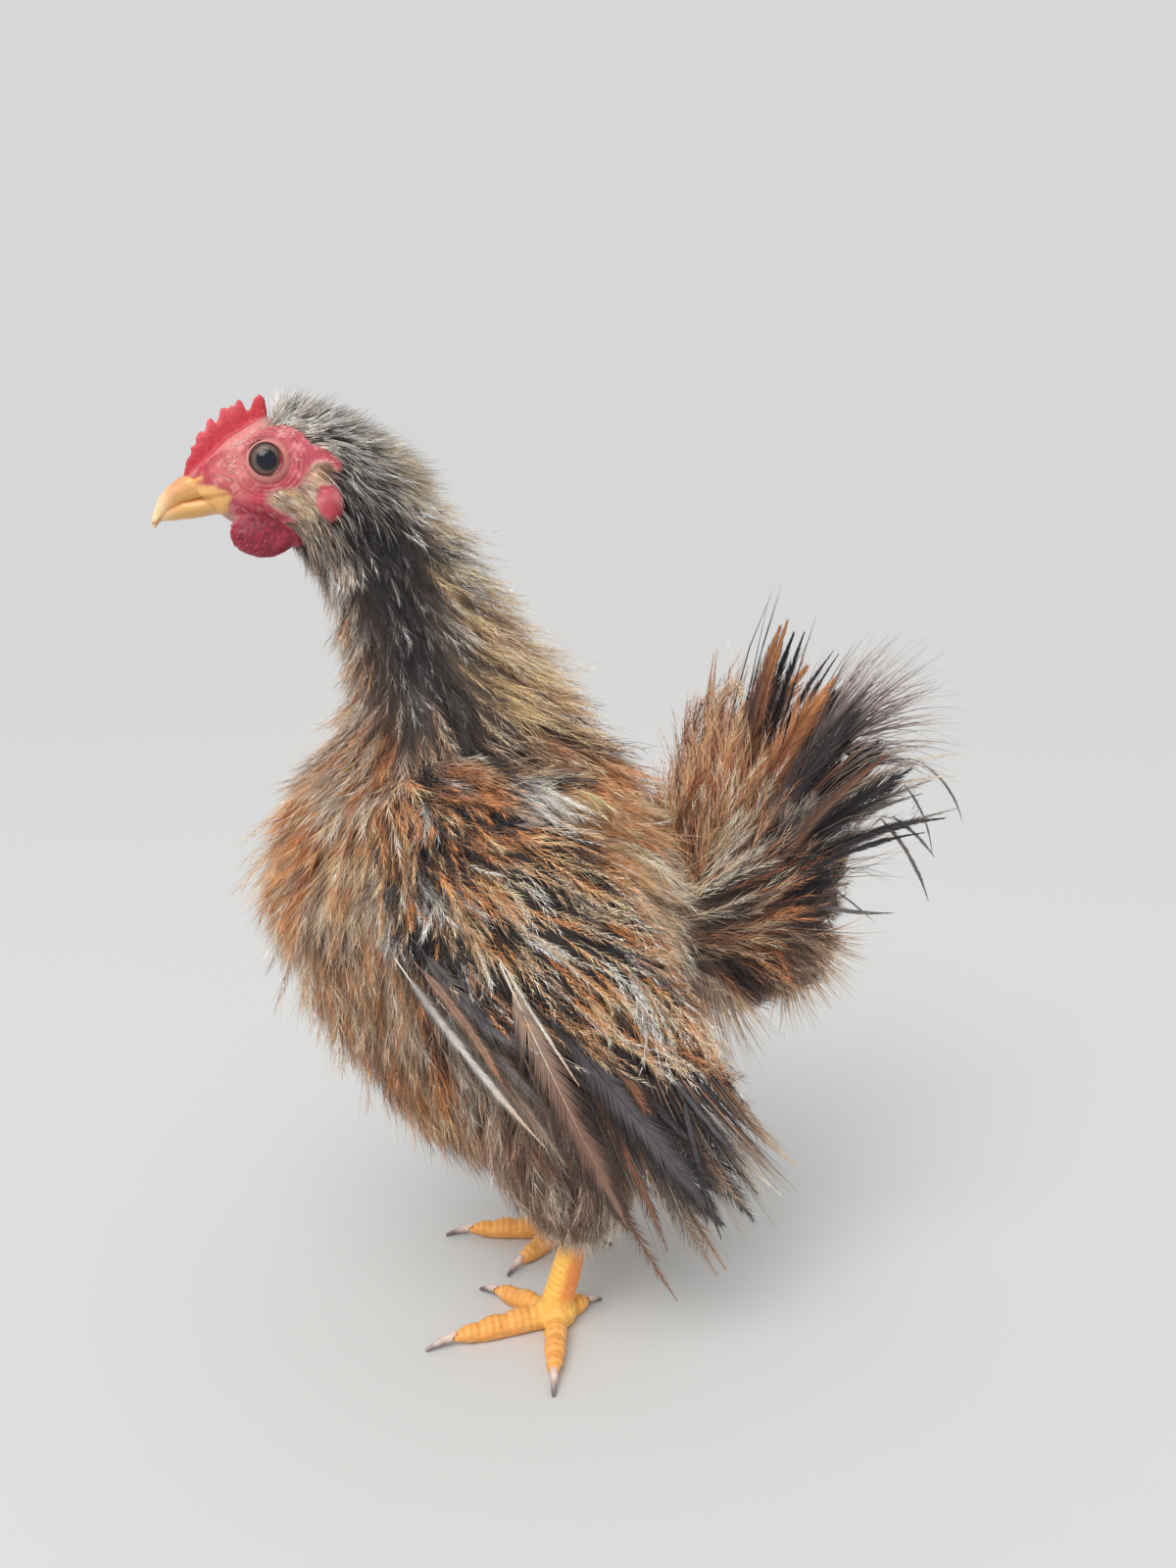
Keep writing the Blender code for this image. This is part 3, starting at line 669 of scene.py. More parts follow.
def unwrapped(places, centre, axis="Z"):
    """Each root's place on an unwrap of the skin round the centre: turn and height, 0.01 to 0.98."""
    away = unit(places - np.asarray(centre))
    order = {"Z": (0, 1, 2), "X": (1, 2, 0), "Y": (2, 0, 1)}[axis]
    away = away[:, order]
    turn = np.arctan2(away[:, 1], away[:, 0]) / (2 * math.pi) + 0.5
    height = np.arccos(np.clip(away[:, 2], -1, 1)) / math.pi
    both = np.stack([turn, height], axis=1)
    low, high = both.min(axis=0), both.max(axis=0)
    return 0.01 + 0.97 * (both - low) / np.maximum(high - low, 1e-6)


def along_path(paths, shares):
    """Places at these shares, 0 to 1, of the length of each path. shares is (strands, many)."""
    spans = paths.shape[1] - 1
    position = np.clip(shares * spans, 0, spans - 1e-6)
    before = position.astype(int)
    part = (position - before)[..., None]
    rows = np.arange(len(paths))[:, None]
    return paths[rows, before] * (1 - part) + paths[rows, before + 1] * part


def along_colours(colours, shares):
    """The root, middle and tip colours blended at these shares."""
    low = ramp(shares, 0.1, 0.5)[..., None]
    high = ramp(shares, 0.55, 1.0)[..., None]
    while colours.ndim < shares.ndim + 2:
        colours = colours[:, None]
    middle = colours[..., 0, :] * (1 - low) + colours[..., 1, :] * low
    return middle * (1 - high) + colours[..., 2, :] * high


def follow(surface, roots, normals, spots, lengths, rises, depths, swerves, steps):
    """Paths that start at the skin under each root, follow the lie of the coat along the surface and rise
    towards it. Gives the paths and the normals along them, each (plumes, steps, 3)."""
    here, facing = roots, normals
    paths, facings = [], []
    stride = lengths * np.cos(rises) / (steps - 1)
    for step in range(steps):
        share = step / (steps - 1)
        height = -depths + lengths * np.sin(rises) * share ** 0.9
        paths.append(here + facing * height[:, None])
        facings.append(facing)
        way = lie_at(here, facing, spots)
        sideways = np.cross(facing, way)
        turn = swerves * (0.4 + share)
        way = way * np.cos(turn)[:, None] + sideways * np.sin(turn)[:, None]
        here, facing = surface.nearest(here + way * stride[:, None])
    return np.stack(paths, axis=1), np.stack(facings, axis=1)


def loose_profile(shares):
    """Barb length along a loose body plume."""
    return 1.15 - 0.55 * shares


def vane_profile(shares):
    """Barb length along a quill feather: full soon after the root, narrowing to the tip."""
    return ramp(shares, -0.05, 0.22) * (1 - 0.88 * ramp(shares, 0.6, 1.03))


def plumes(strands, rng, paths, facings, colours, patches, barbs, barb_length, barb_angle, barb_width,
           shaft_width=0.22, fray=0.3, curl=0.15, barb_points=3, bare=0.12, shaft_colour=None,
           profile=loose_profile, splits=5, split_angle=0.0, strips=False, edge=None, loose_from=2.0):
    """Adds plumes: a shaft along each path with barbs on both sides that lean towards its tip. Barbs fall
    into splits groups that part by split_angle degrees, and beyond loose_from of the length they come apart.
    strips gives each barb an OFBake patch of its own along its feather."""
    count, steps, _ = paths.shape
    brightness = np.exp(rng.normal(0, 0.08 if strips else 0.24, size=(count, 1, 1))).clip(0.55, 1.6)
    shaft_shares = np.tile(np.linspace(0, 1, steps), (count, 1))
    tints = along_colours(colours if shaft_colour is None else shaft_colour, shaft_shares) * brightness
    tangents = unit(np.gradient(paths, axis=1))
    sideways = np.cross(facings, tangents)
    widths = shaft_width * np.linspace(1, 0.35, steps - 1)[None].repeat(count, axis=0)
    shaft_rows = (shaft_shares * 0.96 + 0.02) if strips else (
        patches[:, 1:] + (shaft_shares - 0.5) * TUFT_PATCH)
    shaft_patches = np.stack([np.repeat(patches[:, :1], steps, axis=1), shaft_rows], axis=2)
    strands.add(paths, sideways[:, 0], widths, 0.8, tints, shaft_patches)
    shares = bare + (1 - bare) * (np.arange(barbs)[None] + rng.random((count, barbs))) / barbs
    if not strips:
        shares = shares ** 0.85
    left = np.arange(barbs) % 2
    side = np.where(left == 0, 1.0, -1.0)[None].repeat(count, axis=0)
    group = np.minimum((shares * splits).astype(int), splits - 1)
    parting = rng.normal(size=(2, count, 2, splits))
    rows = np.arange(count)[:, None]
    bases = along_path(paths, shares)
    tangent = unit(along_path(tangents, shares))
    facing = unit(along_path(facings, shares))
    across = np.cross(facing, tangent) * side[..., None]
    loose = ramp(shares, loose_from, loose_from + 0.35)
    angle = np.radians(barb_angle) * (1.15 - 0.5 * shares)
    angle = angle * (1 + (fray + 0.45 * loose) * rng.normal(size=shares.shape)).clip(0.2, 2)
    angle = angle + np.radians(split_angle) * parting[0][rows, left[None], group]
    lift = (curl + 0.2 * loose) * rng.normal(size=shares.shape) + 0.03
    lift = lift + np.radians(split_angle) * 0.6 * parting[1][rows, left[None], group]
    shortest, longest = (0.88, 1.05) if strips else (0.6, 1.25)
    size = barb_length * profile(shares) * rng.uniform(shortest, longest, size=shares.shape)
    points = [bases]
    spot = bases
    for bend in np.linspace(1.0, 0.45, barb_points - 1):
        way = (tangent * np.cos(angle * bend)[..., None] + across * np.sin(angle * bend)[..., None]
               + facing * (lift * bend)[..., None])
        spot = spot + unit(way) * (size / (barb_points - 1))[..., None]
        points.append(spot)
    barb_paths = np.stack(points, axis=2).reshape(count * barbs, barb_points, 3)
    reach = size / (np.linalg.norm(paths[:, -1] - paths[:, 0], axis=1)[:, None] + 1e-6)
    barb_shares = shares[..., None] + reach[..., None] * np.linspace(0, 1, barb_points)
    barb_shares = np.clip(barb_shares, 0, 1).reshape(count * barbs, barb_points)
    fade = 0.0 if strips else rng.normal(0, 0.16, size=(count * barbs, 1))
    barb_tints = along_colours(np.repeat(colours, barbs, axis=0), np.clip(barb_shares + fade, 0, 1))
    if edge is not None:
        rim = (np.linspace(0, 1, barb_points) ** 2)[None, :, None]
        barb_tints = barb_tints * (1 - rim) + np.repeat(edge, barbs, axis=0)[:, None, :] * rim
    barb_tints = barb_tints * np.repeat(brightness, barbs, axis=0) * rng.normal(
        1, 0.06 if strips else 0.14, size=(count * barbs, 1, 1)).clip(0.6, 1.4)
    taper = np.linspace(1, 0.6, barb_points - 1)[None]
    barb_widths = barb_width * taper * (1 - 0.5 * loose.reshape(-1, 1)) * rng.uniform(
        0.75, 1.2, size=(count * barbs, 1))
    across_patch = side.reshape(-1)[:, None] * np.linspace(0.1, 0.45, barb_points)
    along_patch = (barb_shares - 0.5) * 0.9
    centres = np.repeat(patches, barbs, axis=0)
    if strips:
        centres = np.stack([centres[:, 0] + side.reshape(-1) * TUFT_PATCH * 1.5,
                            shares.reshape(-1) * 0.96 + 0.02], axis=1)
        across_patch = across_patch * 2
        along_patch = np.tile(np.linspace(-0.4, 0.4, barb_points), (count * barbs, 1))
    barb_patches = centres[:, None, :] + np.stack([across_patch, along_patch], axis=2) * TUFT_PATCH
    strands.add(barb_paths, tangent.reshape(-1, 3), barb_widths, 0.45, barb_tints, barb_patches)


def stray_hairs(strands, rng, paths, facings, colours, patches, share=0.35):
    """Adds fine single hairs that stand a little out of the coat, past the tips of some plumes."""
    chosen = rng.choice(len(paths), int(len(paths) * share), replace=False)
    root, tip = paths[chosen, 1], paths[chosen, -1]
    way = tip - root
    reach = rng.uniform(0.05, 0.4, size=(len(chosen), 1))
    out = facings[chosen, -1] * np.linalg.norm(way, axis=1, keepdims=True)
    end = tip + way * reach + out * rng.uniform(0.02, 0.34, size=(len(chosen), 1))
    end = end + rng.normal(0, 0.9, size=end.shape)
    middle = (root + end) / 2 + out * 0.06
    hairs = np.stack([root, middle, end], axis=1)
    tints = along_colours(colours[chosen], np.tile((0.4, 0.75, 1.0), (len(chosen), 1)))
    tints = tints * rng.normal(1.1, 0.15, size=(len(chosen), 1, 1)).clip(0.6, 1.5)
    spread = np.stack([np.zeros(3), np.linspace(-0.4, 0.4, 3)], axis=1) * TUFT_PATCH
    strands.add(hairs, np.cross(facings[chosen, 1], way), np.tile((0.15, 0.11), (len(chosen), 1)), 0.8, tints,
                patches[chosen][:, None, :] + spread[None])


def clumped(rng, roots, size, strength):
    """How far each root's tip is drawn sideways, so that neighbours share a tuft and gaps open between
    tufts, and the plume in each tuft's middle."""
    leaders = rng.choice(len(roots), size=max(4, int(len(roots) / size)), replace=False)
    centres = roots[leaders]
    pulls = np.empty(roots.shape)
    led_by = np.empty(len(roots), dtype=int)
    for start in range(0, len(roots), 2000):
        rows = slice(start, start + 2000)
        spans = ((roots[rows, None, :] - centres[None]) ** 2).sum(axis=2)
        pulls[rows] = centres[spans.argmin(axis=1)] - roots[rows]
        led_by[rows] = leaders[spans.argmin(axis=1)]
    return pulls * strength, led_by


@dataclass
class Patch:
    """One piece of the coat and how its plumes are made."""
    name: str
    count: int
    density: object
    centre: tuple
    axis: str = "Z"
    barbs: int = 18
    barb_length: float = 4.5
    barb_angle: float = 17.0
    barb_width: float = 0.22
    steps: int = 4
    fray: float = 0.42
    curl: float = 0.24
    swerve: float = 0.28
    clump: float = 7
    clump_pull: float = 0.42
    barb_points: int = 2
    shaft: float = 0.2


def grow_patch(patch, surface, spots, seed, strands=None):
    """Grows one piece of coat on a surface."""
    rng = np.random.default_rng(SEED + seed)
    strands = strands or Strands()
    count = int(patch.count * plumage().fullness)
    roots, normals = surface.scatter(rng, count, patch.density)
    lengths = blended(roots, spots, lambda spot: spot.length) * plumage().plume_length
    lengths = lengths * rng.normal(1.0, 0.17, size=count).clip(0.55, 1.45)
    rises = np.radians(blended(roots, spots, lambda spot: spot.rise))
    rises = rises * rng.normal(1, 0.28, count).clip(0.3, 2)
    depths = blended(roots, spots, lambda spot: spot.depth)
    swerves = drift(roots, 9.0, seed)[:, 0] * patch.swerve + rng.normal(0, patch.swerve * 0.5, count)
    paths, facings = follow(surface, roots, normals, spots, lengths, rises, depths, swerves, patch.steps)
    pulls, led_by = clumped(rng, roots, patch.clump, patch.clump_pull)
    bend = np.linspace(0, 1, patch.steps)[None, :, None] ** 1.5
    wander = drift(paths.reshape(-1, 3), 4.0, seed + 50).reshape(paths.shape) * 0.5
    paths = paths + (pulls[:, None, :] + wander) * bend
    colours = pick_colours(rng, roots, spots)
    colours = np.where(rng.random((count, 1, 1)) < 0.6, colours[led_by], colours)
    patches = unwrapped(roots, patch.centre, patch.axis)
    plumes(strands, rng, paths, facings, colours, patches, patch.barbs, patch.barb_length, patch.barb_angle,
           patch.barb_width, patch.shaft, patch.fray, patch.curl, patch.barb_points)
    stray_hairs(strands, rng, paths, facings, colours, patches)
    return strands


# Where each piece of the coat grows

def on_head(places):
    """1 on the head, falling to 0 on the upper neck."""
    return ramp(places[:, 2] * 0.8 - places[:, 0] * 0.6, 191.0, 199.0)


def covered(places):
    """1 where a wing hides the body, so that little needs to grow there."""
    return near(places, (-14, 36, 108), (26, 12, 22))


def bare_skin(places):
    """1 on the bare red face and lobes, 0 where hairs grow."""
    wavy = places + drift(places, 2.4, 8) * 0.4
    return np.maximum(inside(wavy, RED_FACE, 0.9), inside(wavy, EARLOBE, 0.9))


# Materials

def material_named(name):
    """A new material and its Principled shader."""
    material = bpy.data.materials.new(name)
    material.use_nodes = True
    shader = material.node_tree.nodes["Principled BSDF"]
    return material, shader


def node(tree, kind, **settings):
    """A node of the tree, with its settings."""
    made = tree.nodes.new(kind)
    for key, value in settings.items():
        setattr(made, key, value)
    return made


@cache
def mottle_group():
    """Fine noise that breaks up a tint and its gloss."""
    group = bpy.data.node_groups.new("mottle", "ShaderNodeTree")
    face = group.interface
    face.new_socket(name="Tint", in_out="INPUT", socket_type="NodeSocketColor")
    for name in ("Scale", "Darkest", "Lightest", "Smoothest", "Roughest"):
        face.new_socket(name=name, in_out="INPUT", socket_type="NodeSocketFloat")
    face.new_socket(name="Color", in_out="OUTPUT", socket_type="NodeSocketColor")
    face.new_socket(name="Roughness", in_out="OUTPUT", socket_type="NodeSocketFloat")
    given = node(group, "NodeGroupInput")
    result = node(group, "NodeGroupOutput")
    coordinates = node(group, "ShaderNodeTexCoord")
    grain = node(group, "ShaderNodeTexNoise")
    grain.inputs["Detail"].default_value = 3.0
    join = group.links.new
    join(coordinates.outputs["Object"], grain.inputs["Vector"])
    join(given.outputs["Scale"], grain.inputs["Scale"])
    bright, rough = node(group, "ShaderNodeMapRange"), node(group, "ShaderNodeMapRange")
    for reach, low, high in ((bright, "Darkest", "Lightest"), (rough, "Smoothest", "Roughest")):
        join(grain.outputs["Fac"], reach.inputs["Value"])
        join(given.outputs[low], reach.inputs["To Min"])
        join(given.outputs[high], reach.inputs["To Max"])
    mixed = node(group, "ShaderNodeVectorMath", operation="MULTIPLY")
    join(given.outputs["Tint"], mixed.inputs[0])
    join(bright.outputs["Result"], mixed.inputs[1])
    join(mixed.outputs["Vector"], result.inputs["Color"])
    join(rough.outputs["Result"], result.inputs["Roughness"])
    return group


def mottled(name, scale, brightness, roughness):
    """A material of the piece's own tint, mottled between two shares of it and two roughnesses."""
    material, shader = material_named(name)
    tree = material.node_tree
    tint = node(tree, "ShaderNodeAttribute", attribute_name="tint")
    mottle = node(tree, "ShaderNodeGroup", node_tree=mottle_group())
    values = {"Scale": scale, "Darkest": brightness[0], "Lightest": brightness[1], "Smoothest": roughness[0],
              "Roughest": roughness[1]}
    for socket, value in values.items():
        mottle.inputs[socket].default_value = value
    tree.links.new(tint.outputs["Color"], mottle.inputs["Tint"])
    tree.links.new(mottle.outputs["Color"], shader.inputs["Base Color"])
    tree.links.new(mottle.outputs["Roughness"], shader.inputs["Roughness"])
    return material, shader


@cache
def feather_material(kind):
    """Barbs: dull in the down, smoother in the vanes."""
    brightness, roughness = {"down": ((0.75, 1.4), (0.7, 0.94)), "contour": ((0.75, 1.6), (0.5, 0.74)),
                             "vane": ((0.7, 1.25), (0.36, 0.6))}[kind]
    material, shader = mottled(f"feather_{kind}", 420.0, brightness, roughness)
    shader.inputs["Specular IOR Level"].default_value = 0.35
    return material


@cache
def skin_material():
    """Soft bare skin with small pores."""
    material, shader = mottled("skin", 900.0, (0.78, 1.22), (0.38, 0.62))
    tree = material.node_tree
    coordinates = node(tree, "ShaderNodeTexCoord")
    pores = node(tree, "ShaderNodeTexVoronoi")
    pores.inputs["Scale"].default_value = 2200.0
    tree.links.new(coordinates.outputs["Object"], pores.inputs["Vector"])
    bump = node(tree, "ShaderNodeBump")
    bump.inputs["Strength"].default_value = 0.35
    bump.inputs["Distance"].default_value = 0.0001
    tree.links.new(pores.outputs["Distance"], bump.inputs["Height"])
    tree.links.new(bump.outputs["Normal"], shader.inputs["Normal"])
    shader.inputs["Subsurface Weight"].default_value = 0.12
    shader.inputs["Subsurface Radius"].default_value = (0.0012, 0.0005, 0.0003)
    shader.inputs["Subsurface Scale"].default_value = 1.0
    return material


@cache
def smooth_horn(kind):
    """Horn or a wet eye: fine mottling under a clear gloss."""
    roughness, coat, specular = {"horn": ((0.3, 0.46), 0.15, 0.5), "eye": ((0.064, 0.096), 0.4, 0.2)}[kind]
    material, shader = mottled(kind, 700.0, (0.88, 1.12), roughness)
    shader.inputs["Specular IOR Level"].default_value = specular
    shader.inputs["Coat Weight"].default_value = coat
    shader.inputs["Coat Roughness"].default_value = 0.04
    return material


# Skin

def eye_distance(places):
    """Distance from the line through each eye's middle."""
    return np.hypot(places[:, 0] - EYE_CENTRE[0], places[:, 2] - EYE_CENTRE[2])


def stroke(places, start, end, width):
    """1 along a line between two places, on either side, falling to 0 past its width."""
    start, end = np.asarray(start, dtype=float), np.asarray(end, dtype=float)
    flat = folded(places)
    share = np.clip(((flat - start) @ (end - start)) / ((end - start) @ (end - start)), 0, 1)
    away = np.linalg.norm(flat - (start + share[:, None] * (end - start)), axis=1)
    return np.exp(-(away / width) ** 2)


def eye_folds(places):
    """Uneven rings round the eye, 1 on a fold and -1 between folds."""
    wavy = eye_distance(places) + drift(places, 4.5, 3)[:, 0] * 0.35
    return np.cos((wavy - FOLD_START) * 2 * math.pi / FOLD_SPACING)


def comb_height(places):
    """Height above the line where the comb grows out of the crown."""
    foot = np.interp(places[:, 0], (-97, -92, -89.2, -85, -82.3, -77.4),
                     (212.6, 216.8, 219.4, 222.6, 224.5, 227.6))
    return places[:, 2] - foot


def on_comb(places):
    """1 on the comb."""
    return ramp(comb_height(places), 0.0, 1.6) * (1 - ramp(np.abs(places[:, 1]), 2.0, 2.8)) * (
        1 - ramp(places[:, 0], -77.2, -76.0))


def on_wattle(places):
    return ramp(near(places, (-78.4, 4.8, 200.6), (7.6, 3.4, 4.8)), 0.2, 0.42) * (
        1 - ramp(places[:, 2], 204.4, 205.6))


def face_relief(places):
    """How far the head's skin stands out of its plain form: lids, folds, pebbles, ear and mouth corner."""
    turned = np.arctan2(places[:, 2] - EYE_CENTRE[2], places[:, 0] - EYE_CENTRE[0])
    behind = 0.55 + 0.45 * np.cos(turned + 0.35)
    sided = ramp(np.abs(places[:, 1]), 5.0, 8.0)
    radius = eye_distance(places)
    relief = 0.75 * np.exp(-((radius - 4.1) / 0.5) ** 2) * sided
    relief -= 0.4 * np.exp(-((radius - 5.25) / 0.4) ** 2) * sided
    depth = skin_settings().wrinkle_depth / MM
    fading = np.exp(-((radius - 6.9) / 2.3) ** 2)
    relief += depth * 1.3 * eye_folds(places) * fading * behind * sided * ramp(radius, 4.9, 5.5)
    horn = inside(places, HORN_BASE, 0.4)
    relief += 0.5 * stroke(places, (-86.0, 5, 209.8), (-79.5, 9, 208.2), 1.0)
    relief -= 0.5 * stroke(places, (-85.6, 4, 206.4), (-73.0, 8, 204.6), 0.8)
    relief += 0.35 * stroke(places, (-90, 4.5, 217.5), (-84, 8, 220.0), 1.4)
    relief -= 0.35 * near(places, (-86.5, 7, 214.0), (2.6, 4, 2.2))
    relief += 0.5 * stroke(places, *NOSTRIL_RIM, 0.8)
    relief -= 0.4 * stroke(places, (-95.0, 3, 213.5), (-92.0, 4, 214.0), 0.3)
    relief -= 0.4 * stroke(places, *CHEEK_CREASE, 0.4)
    ear = np.hypot(places[:, 0] + 63.9, places[:, 2] - 214.0)
    relief += sided * (0.35 * np.exp(-((ear - 2.5) / 0.6) ** 2) - 0.9 * np.exp(-(ear / 1.3) ** 2))
    comb, wattle = on_comb(places), on_wattle(places)
    pebbles = grains(places, 0.75)
    bare = bare_skin(places) * (1 - comb) * (1 - horn)
    relief += (pebbles - 0.45) * (0.3 * comb + 0.36 * np.clip(wattle * 2, 0, 1) + 0.18 * bare)
    fine = grains(places, 0.42, 7.0)
    relief += (fine - 0.45) * (0.1 * comb + 0.12 * np.clip(wattle * 2, 0, 1) + 0.07 * bare)
    relief += (0.35 + 0.22 * drift(places, 1.7, 12)[:, 0] + 0.25 * drift(places, 4.0, 13)[:, 0]) * np.clip(
        wattle * 2, 0, 1)
    relief += 0.14 * drift(places, 2.2, 9)[:, 1] * bare
    return relief


def head_skin():
    """The head in fine faces: bare face, comb, wattles and lobes, with the eyes' openings cut."""
    form = cad_form(HEAD_FLESH, grow=0.12)
    for side in SIDES.values():
        filled(form, eye_place(side, 0.5), (5.6, 4.4, 5.6))
    form = evened(form, 0.42, 4)
    wattles = [vert for vert, share in zip(form.verts, on_wattle(places_of(form))) if share > 0.3]
    smoothed(form, wattles, 24)
    places = places_of(form)
    hairy = blended(places, BODY_SPOTS, lambda spot: spot.depth) * ramp(places[:, 0], -84, -74)
    covered_depth = np.where(bare_skin(places) > 0.02, 0.15, 1.0)
    inset = np.minimum(hairy, 2.4) * (1 - np.clip(bare_skin(places) * 2, 0, 1)) * covered_depth
    inset *= (1 - on_comb(places)) * (1 - np.clip(on_wattle(places) * 2, 0, 1))
    places = places + normals_of(form) * (face_relief(places) - inset)[:, None]
    seam, over_bill = np.array((-96.9, 0, 213.6)), np.array((-0.62, 0, -0.78))
    rim = ramp((places - seam) @ over_bill, -2.4, -0.3)[:, None]
    places = places + over_bill * 1.1 * rim + normals_of(form) * 0.16 * rim
    cut, across_cut = np.array((-55.3, 0, 201.5)), np.array((0.848, 0, -0.53))
    beyond = (places - cut) @ across_cut
    axis = cut + beyond[:, None] * across_cut
    tuck = 0.42 * ramp(beyond, -9.0, -1.0)[:, None]
    put(form, places + (axis - places) * tuck)
    for side in SIDES.values():
        form = combined(form, ball(eye_place(side), (EYE_RADIUS + 0.04,) * 3, 48, 32), "DIFFERENCE")
    return form


TOES = {"inner": -44, "middle": 10, "outer": 80, "hallux": -150}
FEET = {"left": (-13.2, -21.4), "right": (-5.2, 18.8)}
SCUTE = 1.9


def toe_coordinates(places):
    """How far along its toe each place lies, and how far beside it."""
    along = np.zeros(len(places))
    beside = np.full(len(places), 99.0)
    for name, side in SIDES.items():
        away = places[:, :2] - np.asarray(FEET[name])
        for turn in TOES.values():
            angle = math.radians(turn * side)
            way = np.array([-math.cos(angle), math.sin(angle)])
            distance = away @ way
            off = np.abs(away @ np.array([-way[1], way[0]])) + np.maximum(-distance, 0)
            closer = off < beside
            along[closer], beside[closer] = distance[closer], off[closer]
    return along, beside


def leg_relief(places, normals):
    """Rings across the front of the shank and the top of the toes, small scales elsewhere."""
    depth = skin_settings().scute_depth / MM
    along, _ = toe_coordinates(places)
    height = places[:, 2]
    on_toe = 1 - ramp(height, 7.5, 10.0)
    shank_ring = np.abs(np.sin(math.pi * (height + 0.35 * places[:, 0]) / SCUTE)) ** 0.6
    toe_ring = np.abs(np.sin(math.pi * along / SCUTE)) ** 0.6
    front = ramp(-normals[:, 0], -0.25, 0.35)
    top = ramp(normals[:, 2], -0.1, 0.4)
    rings = (1 - on_toe) * front * (shank_ring - 0.7) + on_toe * top * (toe_ring - 0.7)
    scales = (grains(places, 1.25) - 0.4) * ((1 - on_toe) * (1 - front) + on_toe * (1 - top))
    return depth * (rings * 1.4 + scales * 1.5)


def leg_skin(side):
    """A shank and foot in fine faces with their scales."""
    form = evened(cad_form((f"shank_{side}", f"foot_{side}"), grow=0.16), 0.46, 3)
    places = places_of(form)
    normals = normals_of(form)
    grip = ramp(places[:, 2], 0.3, 1.2)
    places = places + normals * ((leg_relief(places, normals) * grip) - 0.1)[:, None]
    places[:, 2] = np.maximum(places[:, 2], 0.02)
    thick = 0.6 * ramp(places[:, 2], 31, 40)[:, None]
    middle = np.interp(places[:, 2], (30, 48), (-4.2, 0.3)) + (FEET[side][0] - FEET["left"][0])
    axis = np.stack([middle, np.full(len(places), FEET[side][1]), places[:, 2]], axis=1)
    put(form, places + (axis - places) * thick)
    return form


def whole_skin():
    """The skin from the bill to the toes as one mesh, inside the coat by its depth. The legs and the wings'
    cores don't reach the body's skin, so they stay shells of their own."""
    form = evened(cad_form(("head", "neck", "trunk", "thigh_left", "thigh_right"), grow=0.4), 1.7, 5)
    places = places_of(form)
    depth = blended(places, BODY_SPOTS, lambda spot: spot.depth) + 0.7
    put(form, places - normals_of(form) * depth[:, None])
    smoothed(form, form.verts, 4)
    form = combined(form, ball((30, 0, 104), (24, 14, 17), 48, 32), "UNION")
    form = combined(form, ball((50, 0, 105), (18, 8, 11), 48, 32), "UNION")
    form = combined(form, ball((35, 0, 95), (22, 15, 17), 48, 32), "UNION")
    for side in SIDES:
        part = evened(wing_core(side), 1.3, 8)
        places = places_of(part)
        put(part, places - normals_of(part) * 2.5)
        form = combined(form, part, "UNION")
    for side in SIDES:
        form = combined(form, leg_skin(side), "UNION")
    return combined(form, head_skin(), "UNION")


def wing_core(side):
    """The fleshy part of a wing, without the vanes below it."""
    return trimmed(cad_form((f"wing_{side}",), grow=0.2), (-16, 0, 88), (0.35, 0, -0.94))


class Layers:
    """A colour for each place, with later layers painted over it."""

    def __init__(self, tint):
        self.tint = tint

    def paint(self, mask, colour):
        """Covers the places where the mask is 1, and partly where it is less."""
        mask = np.clip(mask, 0, 1)[:, None]
        self.tint = self.tint * (1 - mask) + np.asarray(colour) * mask


